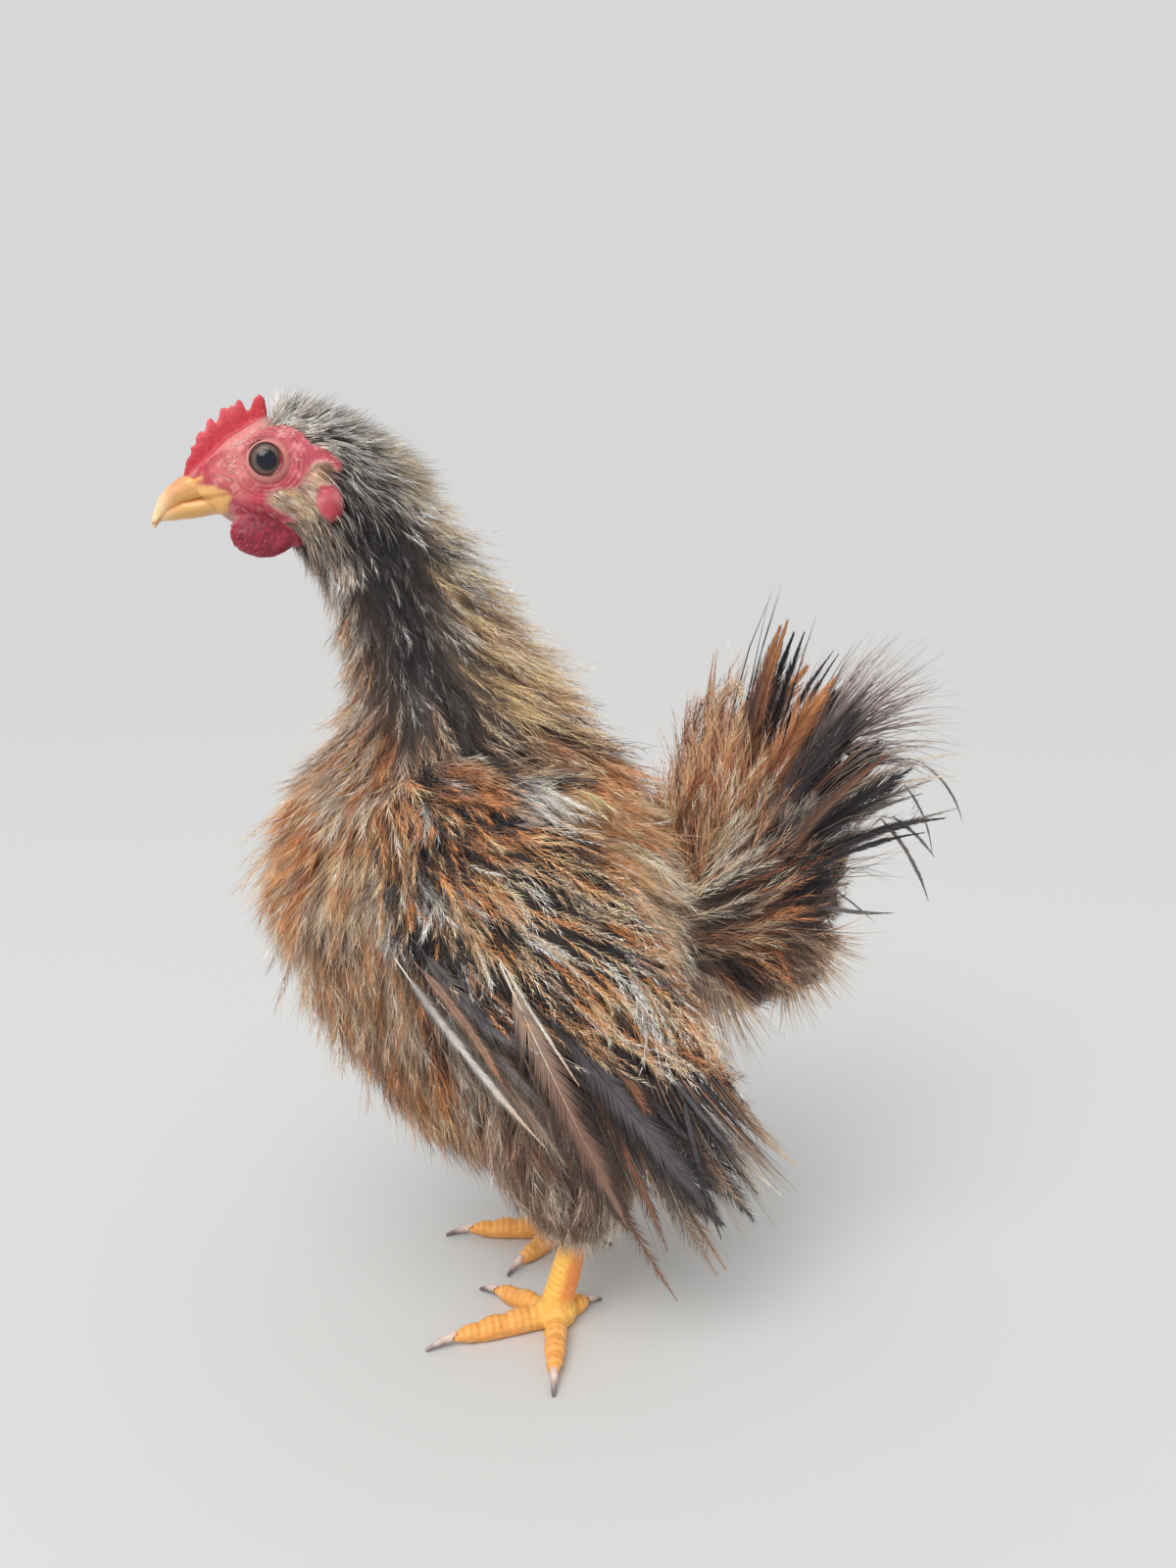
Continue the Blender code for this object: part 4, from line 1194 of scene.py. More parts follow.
def skin_tint(places, normals):
    """The colour of the skin at each place: face, comb, wattles, lobes and legs, with painted shade under the
    coat and in creases.
    """
    settings = skin_settings()
    face, comb, wattle = (np.array(colour[:]) for colour in (settings.face, settings.comb, settings.wattle))
    leg, toe = np.array(settings.leg[:]), np.array(settings.toe[:])
    weights = influence(places, BODY_SPOTS)
    roots = []
    for spot in BODY_SPOTS:
        shares, colours = mix_rows(spot.mix)
        roots.append((shares[:, None] * (colours[:, 0] * 0.6 + colours[:, 1] * 0.4)).sum(axis=0))
    # Painted shade: under the coat the skin takes the plumes' root colours darkened to 0.55 of them, and the
    # wings' cores are painted near black, so gaps in the coat read as shade.
    layers = Layers(weights @ np.array(roots) * 0.55)
    paint = layers.paint
    wings = ramp(np.abs(places[:, 1]), 30, 34) * ramp(places[:, 2], 78, 84)
    paint(wings, shade(52, 44, 42))
    paint(ramp(places[:, 0], 24, 30) * ramp(places[:, 2], 76, 82), shade(96, 76, 64))
    on_head_skin = ramp(places[:, 2] * 0.87 - places[:, 0] * 0.5, 213.0, 218.0)
    paint(on_head_skin * ramp(-places[:, 0], 50, 60), shade(184, 142, 132))
    paint(near(places, (-72, 11, 208.5), (6, 6, 5)), shade(216, 166, 154))
    paint(stroke(places, (-93, 3, 217.0), (-78, 7, 226.5), 3.0), shade(214, 132, 128))
    paint(inside(places + drift(places, 3.0, 17) * 0.6, RED_FACE, 2.6) * 0.7, shade(212, 116, 118))
    paint(bare_skin(places), face)
    blotch = drift(places, 2.6, 21)
    bare = bare_skin(places)
    paint(near(places, (-85, 8, 215), (4.5, 6, 4.5)) * 0.7 * bare, shade(216, 128, 120))
    paint(bare * ramp(blotch[:, 0], 0.2, 1.2) * 0.5, shade(224, 126, 124))
    paint(bare * ramp(blotch[:, 1], 0.3, 1.3) * 0.5, shade(164, 34, 52))
    fine_blotch = drift(places, 1.0, 22)
    paint(bare * ramp(fine_blotch[:, 0], 0.1, 1.0) * 0.5, shade(238, 166, 160))
    paint(bare * ramp(fine_blotch[:, 1], 0.3, 1.2) * 0.4, shade(146, 36, 52))
    radius = eye_distance(places)
    sided = ramp(np.abs(places[:, 1]), 5.0, 8.0)
    folds = ramp(eye_folds(places), 0.2, 0.9)
    paint(np.exp(-((radius - 7.2) / 2.2) ** 2) * folds * sided * 0.32, shade(232, 140, 134))
    paint(np.exp(-((radius - 4.5) / 0.7) ** 2) * sided * 0.85, shade(210, 138, 128))
    # Painted shade in the groove round the lids: a dark red ring.
    paint(np.exp(-((radius - 5.25) / 0.3) ** 2) * sided * 0.5, shade(150, 60, 60))
    paint(np.exp(-((radius - 3.6) / 0.36) ** 2) * sided * 0.85, shade(96, 58, 52))
    ear = np.hypot((places[:, 0] + 65.0) / 1.1, places[:, 2] - 214.2)
    paint((1 - ramp(ear, 1.8, 3.4)) * sided * 0.85, shade(206, 176, 150))
    # Painted shade in the ear's hollow: a dark spot over its opening.
    paint(near(places, (-63.8, 12, 213.8), (1.0, 4, 1.4)), shade(92, 68, 54))
    wavy = places + drift(places, 1.8, 16) * 0.4
    lobe = inside(wavy, EARLOBE, 1.0)
    paint(lobe * 0.85, shade(198, 108, 110))
    spots = np.maximum(near(wavy, (-64.3, 12, 209.9), (2.0, 5, 1.5)),
                       near(wavy, (-63.3, 12, 205.9), (2.3, 5, 2.4)))
    paint(lobe * ramp(spots, 0.2, 0.6) * 0.85, shade(184, 56, 72))
    paint(lobe * ramp(fine_blotch[:, 2], 0.1, 1.0) * 0.4, shade(150, 44, 60))
    paint(stroke(places, (-85.5, 4, 210.0), (-79.5, 9, 208.4), 1.2) * 0.9, shade(218, 68, 86))
    # Painted shade in the crease along the wattle's upper edge: a dark red line over its groove.
    paint(stroke(places, (-85.6, 4, 206.6), (-72.0, 8, 204.6), 1.1) * 0.9, shade(118, 22, 40))
    paint(on_wattle(places) * 2.2, wattle)
    grain_light_and_shade = grains(places, 0.7)
    # Painted highlights on the tops of the wattles' grains and painted shade between them.
    paint(on_wattle(places) * 2 * ramp(grain_light_and_shade, 0.35, 0.7) * 0.5, shade(196, 74, 92))
    paint(on_wattle(places) * 2 * (1 - ramp(grain_light_and_shade, 0.08, 0.3)) * 0.5, shade(112, 22, 44))
    paint(on_wattle(places) * ramp(blotch[:, 2], 0.2, 1.2) * 0.4, shade(180, 60, 80))
    horn = inside(places + drift(places, 1.8, 15) * 0.3, HORN_BASE, 1.1)
    paint(horn, horn_tint(places, normals))
    paint(stroke(places, *NOSTRIL_RIM, 0.8), shade(236, 190, 96))
    # Painted shade in the groove above the nostril's flap and in the crease at the mouth's corner.
    paint(stroke(places, (-95.2, 3, 213.7), (-92.0, 4, 214.0), 0.35), shade(140, 70, 44))
    paint(stroke(places, *CHEEK_CREASE, 0.4) * 0.9, shade(160, 92, 56))
    edge = on_comb(places)
    paint(edge * 1.4, comb)
    rim = ramp(comb_height(places), 3.5, 8.0)
    paint(edge * rim * 0.55, shade(234, 104, 112))
    # Painted highlights on the tops of the comb's grains and painted shade between them.
    paint(edge * ramp(grain_light_and_shade, 0.4, 0.75) * 0.45, shade(242, 134, 138))
    paint(edge * (1 - ramp(grain_light_and_shade, 0.05, 0.25)) * 0.35, shade(164, 30, 46))
    on_leg = 1 - ramp(places[:, 2], 31, 34)
    along, _ = toe_coordinates(places)
    on_toe = 1 - ramp(places[:, 2], 8, 16)
    paint(on_leg, leg)
    paint(on_leg * on_toe * ramp(along, 0, 12), toe)
    side = np.where(places[:, 1] < 0, -1.0, 1.0)
    outer = ramp(normals[:, 1] * side, 0.2, 0.7) * ramp(normals[:, 0], -0.35, 0.15)
    paint(on_leg * ramp(places[:, 2], 6, 10) * outer * 0.75, shade(228, 118, 66))
    shank_gap = 1 - np.abs(np.sin(math.pi * (places[:, 2] + 0.35 * places[:, 0]) / SCUTE)) ** 0.35
    toe_gap = 1 - np.abs(np.sin(math.pi * along / SCUTE)) ** 0.35
    gap = shank_gap * (1 - on_toe) + toe_gap * on_toe
    paint(on_leg * gap * 0.6, shade(214, 138, 64))
    paint(on_leg * ramp(-normals[:, 2], 0.1, 0.8) * 0.4, shade(204, 146, 100))
    paint(on_leg * ramp(blotch[:, 1], 0.3, 1.4) * 0.45, shade(254, 214, 140))
    return layers.tint


def painted(mesh, tints):
    """Stores a colour for each point of the mesh as its tint."""
    layer = mesh.color_attributes.new("tint", "FLOAT_COLOR", "POINT")
    full = np.concatenate([np.clip(tints, 0, 1), np.ones((len(tints), 1))], axis=1)
    layer.data.foreach_set("color", full.astype(np.float32).ravel())


def finished(form, name, material, replaced, tint):
    """The form as a piece of the bird that stands for the replaced nodes."""
    if not form.faces:
        raise RuntimeError(f"{name} came out empty")
    bmesh.ops.recalc_face_normals(form, faces=form.faces)
    places, normals = places_of(form), normals_of(form)
    tints = tint(places, normals)
    for face in form.faces:
        face.smooth = True
    bmesh.ops.scale(form, vec=(MM, MM, MM), verts=form.verts)
    piece = as_object(form, name)
    painted(piece.data, tints)
    piece.data.materials.append(material)
    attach(piece, "root")
    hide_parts(*replaced)
    return piece


# Eyes, bill and claws

def eye_tint(places, normals):
    """Blue-black pupil, grey-brown iris and a dark rim, by distance from the middle of the gaze."""
    radius = eye_distance(places)
    rays = drift(np.stack([np.arctan2(places[:, 2] - EYE_CENTRE[2], places[:, 0] - EYE_CENTRE[0]) * 9,
                           radius, radius], axis=1), 2.0, 4)[:, 0]
    iris = np.asarray(shade(98, 78, 70)) * (1 + 0.18 * rays[:, None])
    tint = np.where((radius < PUPIL_RADIUS)[:, None], np.asarray(shade(13, 17, 32)), iris)
    rim = ramp(radius, IRIS_RADIUS - 0.3, IRIS_RADIUS + 0.15)[:, None]
    return tint * (1 - rim) + np.asarray(shade(52, 38, 34)) * rim


def horn_tint(places, normals):
    """Yellow horn, orange-tan towards the ridge, pale at the tip, brown along the mouth, with painted shade
    in the nostril's slit.
    """
    settings = skin_settings()
    layers = Layers(np.tile(np.array(settings.horn[:]), (len(places), 1)))
    paint = layers.paint
    ridge = ramp(places[:, 2] - (208.5 - (places[:, 0] + 96) * -0.55), 0.0, 4.0)
    paint(ridge * 0.7, shade(214, 146, 100))
    paint(1 - ramp(places[:, 0], -104.5, -98.5), shade(246, 216, 170))
    line = np.interp(places[:, 0], (-104, -101, -97, -93, -86), (203.2, 206.0, 208.0, 209.0, 209.8))
    mouth = np.abs(places[:, 2] - line)
    paint((1 - ramp(mouth, 0.1, 0.7)) * 0.6, shade(188, 118, 66))
    paint(stroke(places, *NOSTRIL_FLAP, 0.9) * 0.8, shade(246, 206, 110))
    # Painted shade in the nostril's slit.
    paint(stroke(places, *NOSTRIL_SLIT, 0.35), shade(150, 80, 44))
    return layers.tint


def claw_tint(places, normals):
    """Whitish horn that turns grey towards the point."""
    low = ramp(places[:, 2] + drift(places, 2.0, 31)[:, 0] * 0.5, 0.8, 3.4)[:, None]
    grey = drift(places, 1.2, 32)[:, :1] * 0.06
    return np.asarray(shade(104, 92, 90)) * (1 - low) + np.asarray(shade(226, 200, 188)) * low + grey


def coat_patches():
    """The pieces of coat that grow on the body."""
    return (
        Patch("coat_neck", 1800, lambda p: ramp(p[:, 2], 150, 160) * (1 - on_head(p)), (-42, 0, 176), "Z",
              barbs=14, barb_length=5.0, barb_angle=18, barb_width=0.18, shaft=0.16, clump=6,
              clump_pull=0.35),
        Patch("coat_breast", 1800, lambda p: (1 - ramp(p[:, 2], 152, 160)) * ramp(p[:, 2], 78, 86)
              * (1 - ramp(p[:, 0], -52, -44)), (-25, 0, 118), "Z", barb_length=9.5, barb_width=0.2),
        Patch("coat_back", 1640, lambda p: (1 - ramp(p[:, 2], 152, 160)) * ramp(p[:, 2], 92, 100)
              * ramp(p[:, 0], -50, -44) * (1 - 0.9 * covered(p)), (-20, 0, 110), "Z", barb_length=8.0),
        Patch("coat_belly", 1320, lambda p: (1 - ramp(p[:, 2], 80, 86)) * (1 - ramp(p[:, 0], -20, -14)),
              (-20, 0, 75), "Z", barb_length=9.5, barb_width=0.2),
        Patch("coat_thighs", 1380, lambda p: (1 - ramp(p[:, 2], 92, 98)) * ramp(p[:, 0], -22, -14)
              * (1 + 1.6 * (1 - ramp(p[:, 2], 42, 54))),
              (-5, 0, 70), "Z", barb_length=8.5),
    )


def grow_head_hair():
    """Short hairs of the crown, cheeks, throat and upper nape, thinning out to nothing on the bare face."""
    rng = np.random.default_rng(SEED + 40)
    strands = Strands()
    surface = head_surface()
    count = int(HEAD_HAIRS * plumage().fullness)

    def density(places):
        lore = 0.07 + 0.35 * near(places, (-86.0, 8, 215.8), (4.0, 6, 4.0))
        lore = lore + 0.4 * near(places, (-63.5, 12, 207.3), (3.0, 6, 4.5))
        lore = lore + 0.35 * stroke(places, (-76, 8, 224.8), (-62, 12, 218.4), 1.5)
        bald = np.clip(bare_skin(places) * 1.4, 0, 1)
        hairy = on_head(places) * (1 - np.clip(on_wattle(places) * 2, 0, 1)) * (1 - bald + lore * bald)
        hairy = hairy * np.where((np.abs(places[:, 1]) < 3.4) & (places[:, 0] < -76.5), 0.0, 1.0)
        by_comb = 0.85 * ramp(comb_height(places), -2.5, -0.5)
        hairy = hairy * (1 - by_comb * (1 - ramp(places[:, 0], -79, -76)))
        hairy = hairy * (1 - 0.97 * near(places, (-65.6, 12, 214.2), (3.4, 6, 2.6)))
        hairy = hairy * (1 - 0.5 * stroke(places, (-93, 3, 217.0), (-80, 7, 225.0), 3.0))
        hairy = hairy * (1 - 0.45 * (1 - ramp(places[:, 2] * 0.8 - places[:, 0] * 0.6, 196, 206)))
        hairy = hairy * ramp(places[:, 0] + 4.5 * ramp(places[:, 2], 209, 212), -87.0, -84.0)
        return hairy * (1 - np.clip(inside(places, HORN_BASE, 1.5) * 1.7, 0, 1))

    roots, normals = surface.scatter(rng, count, density)
    kept = rng.random(count) < density(roots) * 1.05
    roots, normals = roots[kept], normals[kept]
    count = len(roots)
    lengths = blended(roots, BODY_SPOTS, lambda spot: spot.length) * rng.normal(1, 0.3, count).clip(0.4, 1.8)
    rises = np.radians(blended(roots, BODY_SPOTS, lambda spot: spot.rise))
    rises = rises * rng.normal(1, 0.25, count).clip(0.3, 1.7)
    depths = blended(roots, BODY_SPOTS, lambda spot: spot.depth)
    swerves = drift(roots, 5.0, 41)[:, 0] * 0.25 + rng.normal(0, 0.16, count)
    paths, _ = follow(surface, roots, normals, BODY_SPOTS, lengths, rises, depths, swerves, 3)
    pulls, led_by = clumped(rng, roots, 9, 0.75)
    pulls = pulls * ramp(lengths, 3.0, 5.5)[:, None]
    paths = paths + pulls[:, None, :] * np.linspace(0, 1, 3)[None, :, None] ** 1.4
    colours = pick_colours(rng, roots, BODY_SPOTS)
    colours = np.where(rng.random((count, 1, 1)) < 0.6, colours[led_by], colours)
    tone = rng.normal(0, 0.26, size=(count, 1, 1))
    tints = along_colours(colours, np.tile(np.linspace(0, 1, 3), (count, 1)))
    tints = tints * np.exp(0.7 * tone[led_by] + 0.6 * tone).clip(0.5, 1.7)
    patches = unwrapped(roots, (-66, 0, 208), "Y")
    patches = np.repeat(patches[:, None, :], 3, axis=1)
    patches = patches + np.stack([np.zeros(3), np.linspace(-0.5, 0.5, 3)], axis=1)[None] * TUFT_PATCH
    widths = np.array([[0.17, 0.13]]) * rng.uniform(0.7, 1.3, size=(count, 1)) * (
        0.7 + 0.5 * ramp(lengths, 2.0, 6.0)[:, None])
    strands.add(paths, np.cross(normals, paths[:, 1] - paths[:, 0]), widths, 0.7, tints, patches)
    strands.as_piece("coat_head", feather_material("down"), "plumage")


def wing_patch(side):
    """The coverts of one wing: over its outer side, thickest on the shoulder."""
    sign = SIDES[side]

    def density(places):
        reach = 8 * np.maximum(ramp(-places[:, 0], 36, 48), ramp(places[:, 2], 130, 140))
        outer = ramp(places[:, 1] * sign + reach, 26, 32)
        line = places[:, 2] + 0.35 * places[:, 0]
        fuller = 1 + 1.2 * ramp(-places[:, 0], 34, 46) + 0.6 * ramp(places[:, 2], 128, 138)
        return outer * ramp(line, 76, 88) * fuller

    return Patch(f"coat_wing_{side}", 1500, density, (-20, sign * 20, 110), "Y", barbs=18, barb_length=4.0,
                 barb_angle=22, barb_width=0.24, clump=5, clump_pull=0.3, swerve=0.38, curl=0.2)


def shoulder_patch(side):
    """Plumes over the line where the wing meets the breast and back."""
    sign = SIDES[side]

    def density(places):
        own_side = ramp(places[:, 1] * sign, 14, 20)
        front = near(places, (-55, 34, 128), (9, 12, 18))
        top = 1.2 * near(places, (-32, 28, 148), (22, 11, 9))
        return own_side * (front + top)

    return Patch(f"coat_shoulder_{side}", 400, density, (-45, sign * 15, 125), "Y", barb_length=6.0,
                 barb_angle=18, barb_width=0.22, clump=5)


@cache
def shoulder_surface(side):
    """The neck, trunk and one wing as one form, so that plumes cross from one to the other."""
    form = cad_form(("neck", "trunk", f"wing_{side}"), grow=0.7)
    fillers = (((-36, 24, 143), (19, 11, 11)), ((-48, 27, 133), (12, 10, 14)), ((-16, 26, 140), (18, 11, 9)))
    for place, radii in fillers:
        filled(form, (place[0], place[1] * SIDES[side], place[2]), radii)
    return Surface(evened(form, 1.7, 14))


def tail_density(places):
    """The tail's coverts: fluff up its front, an arc along its lower side, thin over the middle."""
    front = 1.2 * near(places, (27, 10, 124), (9, 14, 18))
    arc = near(places, (48, 14, 112), (17, 12, 8))
    below = near(places, (48, 10, 94), (22, 16, 11))
    middle = near(places, (44, 12, 124), (9, 12, 9))
    return np.clip(front + arc + below + 0.55 * middle, 0, 1.2)


TAIL_SPOTS = (
    Spot((24, 14, 116), 8, (0.25, 0, 0.97), 20, 16, 3.5, "tail covert"),
    Spot((26, 8, 134), 9, (0.1, 0, 1), 19, 16, 3, "tail covert"),
    Spot((38, 14, 130), 7, (0.35, 0, 0.94), 18, 10, 3, "tail covert"),
    Spot((48, 14, 124), 7, (0.6, 0, 0.8), 13, 8, 3, "grey down"),
    Spot((42, 17, 111), 8, (0.92, 0, 0.35), 21, 10, 4, "tail base"),
    Spot((58, 12, 113), 8, (0.93, 0, 0.36), 17, 9, 3, "under tail"),
    Spot((60, 8, 104), 7, (0.98, 0, 0.1), 14, 10, 3, "under tail"),
    Spot((28, 18, 100), 8, (0.9, 0, 0.1), 20, 12, 4, "tail base"),
    Spot((30, 16, 107), 7, (0.85, 0, 0.35), 20, 16, 3, "tail base"),
    Spot((30, 14, 92), 6, (0.85, 0, -0.45), 18, 14, 4, "tail base"),
    Spot((45, 16, 94), 9, (0.75, 0, -0.65), 16, 18, 4.5, "vent"),
    Spot((62, 8, 94), 9, (0.9, 0, -0.4), 14, 18, 4, "vent"),
    Spot((35, 8, 84), 9, (0.6, 0, -0.8), 14, 18, 4, "vent"),
)


@cache
def tail_surface():
    return Surface(evened(cad_form(("tail",), grow=0.3), 1.3, 4))


def vent_surface():
    """The fluff between the trunk's rear end and the tail."""
    return Surface(evened(ball((36, 0, 95), (24, 18, 19)), 1.5, 1))


def rump_patch():
    """Plumes that cross from the back's rear end to the tail."""
    return Patch("rump", 300, lambda p: near(p, (25, 14, 107), (8, 9, 13)), (38, 0, 112), "Y",
                 barb_length=6.5)


def rump_surface():
    """The trunk and tail as one smooth form, so that plumes cross from one to the other."""
    form = cad_form(("trunk", "tail"), grow=0.7)
    filled(form, (32, 0, 106), (20, 17, 17))
    return Surface(evened(form, 1.7, 12))


@dataclass
class Quill:
    """One large feather: its root and tip, how far its middle bows up, half its vane's width, the colours of
    its vane, edge and shaft, where along it the vane comes apart and how much of the shaft's foot is bare."""
    root: tuple
    tip: tuple
    bow: float
    half_width: float
    vane: tuple
    edge: str
    shaft: str
    loose_from: float
    bare: float = 0.1


FLIGHT_QUILLS = (
    Quill((-52, 43.5, 108), (-20, 43.4, 60), 1, 1.6, ("grey", "pale", "tan"), "grey", "white", 0.85),
    Quill((-48, 43, 107), (-27, 43.4, 75), -1.2, 1.5, ("brown", "brown", "chestnut"), "dun", "brown", 0.7),
    Quill((-43, 40, 97), (-13, 41.5, 54), -0.5, 2.2, ("charcoal", "brown", "dun"), "cream", "cream", 0.6),
    Quill((-47, 42, 111), (-21, 43.5, 82), 2.5, 3, ("charcoal", "slate", "slate"), "grey", "charcoal", 0.93),
    Quill((-38, 41.5, 94), (-12, 42.5, 62), 0.5, 2.2, ("charcoal", "slate", "brown"), "dun", "white", 0.6),
    Quill((-29, 44.8, 106), (2, 42.6, 39), 0.5, 5.8, ("dun", "brown", "brown"), "charcoal", "white", 0.85),
    Quill((-29, 45.2, 107), (-13, 44.6, 76), 0.2, 0.5, ("white", "white", "tan"), "cream", "white", 0.95),
    Quill((-12, 42.6, 70), (15, 41.4, 16), 1.5, 1.9, ("brown", "brown", "chestnut"), "brown", "brown", 0.35),
    Quill((-22, 43.4, 99), (25, 41.8, 36), 0, 6.2, ("slate", "slate", "charcoal"), "charcoal", "black", 0.86),
    Quill((-17, 41.2, 98), (34, 38.5, 35), -1, 5.4, ("charcoal", "slate", "charcoal"), "black", "black", 0.7),
    Quill((-5, 43.8, 82), (8, 43.2, 56), -2.5, 1.9, ("brown", "chestnut", "brown"), "brown", "black", 0.95),
    Quill((8, 42.4, 80), (30, 41.4, 49), 0.5, 0.9, ("slate", "slate", "charcoal"), "slate", "slate", 0.9),
    Quill((19, 41.4, 67), (38, 40.6, 47), 0.3, 0.7, ("slate", "grey", "dun"), "pale", "pale", 0.8),
    Quill((14, 41.8, 72), (24, 41.6, 34), 1, 1, ("slate", "slate", "charcoal"), "charcoal", "black", 0.9),
    Quill((4, 42.3, 70), (17, 42, 48), 1, 0.8, ("brown", "brown", "black"), "black", "black", 0.9),
    Quill((0, 41.5, 90), (32, 39, 49), 2, 1.8, ("black", "charcoal", "dun"), "dun", "slate", 0.5),
    Quill((-4, 41.5, 84), (25, 40, 49), 1.5, 1.6, ("black", "charcoal", "brown"), "charcoal", "slate", 0.6),
    Quill((5, 40.8, 82), (42, 37, 40), 1.5, 2.2, ("charcoal", "dun", "cream"), "white", "cream", 0.45),
    Quill((2, 40.5, 78), (34, 38.5, 35), 1, 2.4, ("black", "brown", "cream"), "tan", "tan", 0.45),
    Quill((10, 39.5, 90), (46, 36, 46), 2, 2.2, ("black", "brown", "tan"), "tan", "black", 0.5),
    Quill((-6, 40, 78), (28, 38, 21), 0, 3, ("black", "charcoal", "brown"), "tan", "brown", 0.5),
    Quill((-9, 40.5, 74), (24, 38.5, 20), -1, 2.6, ("charcoal", "slate", "dun"), "dun", "tan", 0.5),
    Quill((-9, 40.8, 76), (12, 40.5, 30), -1, 2, ("chestnut", "chestnut", "brown"), "brown", "brown", 0.6),
    Quill((-44, 37.5, 104), (-14, 38.5, 62), 0, 3.4, ("black", "charcoal", "brown"), "brown", "brown", 0.6),
    Quill((-30, 37.5, 98), (4, 38, 46), 0, 4.6, ("black", "charcoal", "brown"), "brown", "brown", 0.6),
    Quill((-14, 37, 96), (22, 37, 34), 0, 5.2, ("black", "charcoal", "charcoal"), "brown", "brown", 0.6),
    Quill((2, 36.5, 96), (36, 35.5, 38), 1, 4.8, ("black", "charcoal", "brown"), "dun", "brown", 0.5),
)

TAIL_QUILLS = (
    Quill((38, 1, 112), (65, 1.5, 160), -2, 5.5, ("charcoal", "brown", "charcoal"), "black", "black", 0.9),
    Quill((34, 1, 112), (46, 1.5, 162), -2, 4.5, ("black", "chestnut", "brown"), "black", "black", 0.8),
    Quill((29, 3, 108), (26, 3, 150), -1.5, 3.2, ("brown", "rust", "tan"), "tan", "tan", 0.6),
    Quill((42, 1.5, 110), (73, 2, 157), -2, 5, ("charcoal", "black", "charcoal"), "black", "black", 0.9),
    Quill((40, 1, 110), (80, 1.5, 146), -3, 5, ("charcoal", "black", "charcoal"), "black", "black", 0.85),
    Quill((33, 2, 116), (32, 2, 172), -2, 1.1, ("rust", "tan", "tan"), "brown", "tan", 0.75),
    Quill((32, 4, 114), (40, 6, 167), -2, 1.5, ("rust", "brown", "brown"), "chestnut", "brown", 0.6),
    Quill((34, 7, 113), (38, 9, 160), -2, 3.3, ("rust", "rust", "tan"), "tan", "tan", 0.5),
    Quill((36, 2, 112), (52, 2, 180), -2, 3.4, ("brown", "chestnut", "rust"), "black", "tan", 0.93),
    Quill((38, 3, 112), (56, 3, 177), -2, 2.7, ("black", "black", "black"), "black", "white", 0.93),
    Quill((36, 6.5, 112), (61, 8.5, 166), -4, 4.8, ("rust", "chestnut", "rust"), "rust", "tan", 0.85),
    Quill((44, 3, 130), (65.5, 3, 171.5), -2, 1.1, ("black", "black", "black"), "charcoal", "black", 0.8),
    Quill((38, 6, 110), (69, 8, 158), -3, 5.2, ("slate", "charcoal", "charcoal"), "black", "grey", 0.8),
    Quill((38, 3.5, 110), (73, 5, 163), -3, 4.4, ("charcoal", "black", "charcoal"), "mauve", "pale", 0.7),
    Quill((42, 8.5, 109), (73, 14, 146), -3, 2.8, ("rust", "brown", "chestnut"), "black", "brown", 0.85),
    Quill((42, 8, 108), (82, 10.5, 140), -3, 4.2, ("black", "black", "charcoal"), "black", "black", 0.8),
    Quill((42, 5, 110), (98, 7, 146), -9, 1.8, ("charcoal", "dun", "cream"), "cream", "cream", 0.5),
    Quill((42, 6.5, 109), (97, 8.5, 140), -10, 1.6, ("black", "brown", "cream"), "cream", "tan", 0.5),
    Quill((42, 6, 108), (89, 8, 138), -5, 2.8, ("charcoal", "slate", "dun"), "grey", "black", 0.6),
    Quill((43, 9, 107), (85, 12, 124), -4, 1.3, ("black", "black", "black"), "charcoal", "black", 0.9),
    Quill((43, 7, 108), (91, 10, 128), -4.5, 1.7, ("black", "black", "charcoal"), "charcoal", "black", 0.9),
    Quill((43, 5, 108), (96, 8, 130), -3, 1.4, ("charcoal", "slate", "grey"), "grey", "black", 0.7),
    Quill((76, 8, 128), (87, 10, 106), -2, 0.7, ("charcoal", "slate", "slate"), "grey", "grey", 0.9, 0),
    Quill((80, 7, 128), (92, 9, 117), -1, 0.6, ("charcoal", "slate", "slate"), "grey", "black", 0.9, 0),
    Quill((84, 5, 136), (91, 6, 118), -2, 0.4, ("charcoal", "slate", "slate"), "grey", "black", 0.9, 0),
    Quill((88, 6, 142), (100, 7, 126), -2.5, 0.4, ("dun", "charcoal", "slate"), "grey", "grey", 0.9, 0),
    Quill((52, 9, 107), (78, 11, 103), 1.5, 0.9, ("charcoal", "slate", "charcoal"), "grey", "black", 0.9),
    Quill((54, 8, 115), (72, 10, 102), -1, 0.4, ("charcoal", "slate", "slate"), "grey", "black", 0.9),
)


@dataclass
class Fan:
    """Many thin strands that spread from a line of roots to a line of tips."""
    count: int
    roots: tuple
    tips: tuple
    mix: str
    width: float
    bow: float
    scatter: float = 1.6


WING_FANS = (
    Fan(60, ((4, 41.5, 76), (20, 41, 72)), ((20, 41, 30), (34, 40, 28), (42, 39.5, 36), (48, 39.5, 42)),
        "fan", 0.45, 0.5),
    Fan(80, ((-8, 41, 84), (12, 40, 94)), ((10, 41, 26), (27, 39, 24), (38, 38, 36), (44, 37, 50)),
        "fan", 0.55, 1.5),
    Fan(26, ((-30, 41, 96), (-14, 41, 92)), ((-14, 42, 56), (6, 41, 38)), "fan", 0.45, -0.5),
    Fan(22, ((-46, 40.5, 108), (-34, 41, 100)), ((-30, 42, 76), (-16, 42, 62)), "leading edge", 0.5, 0.5),
)

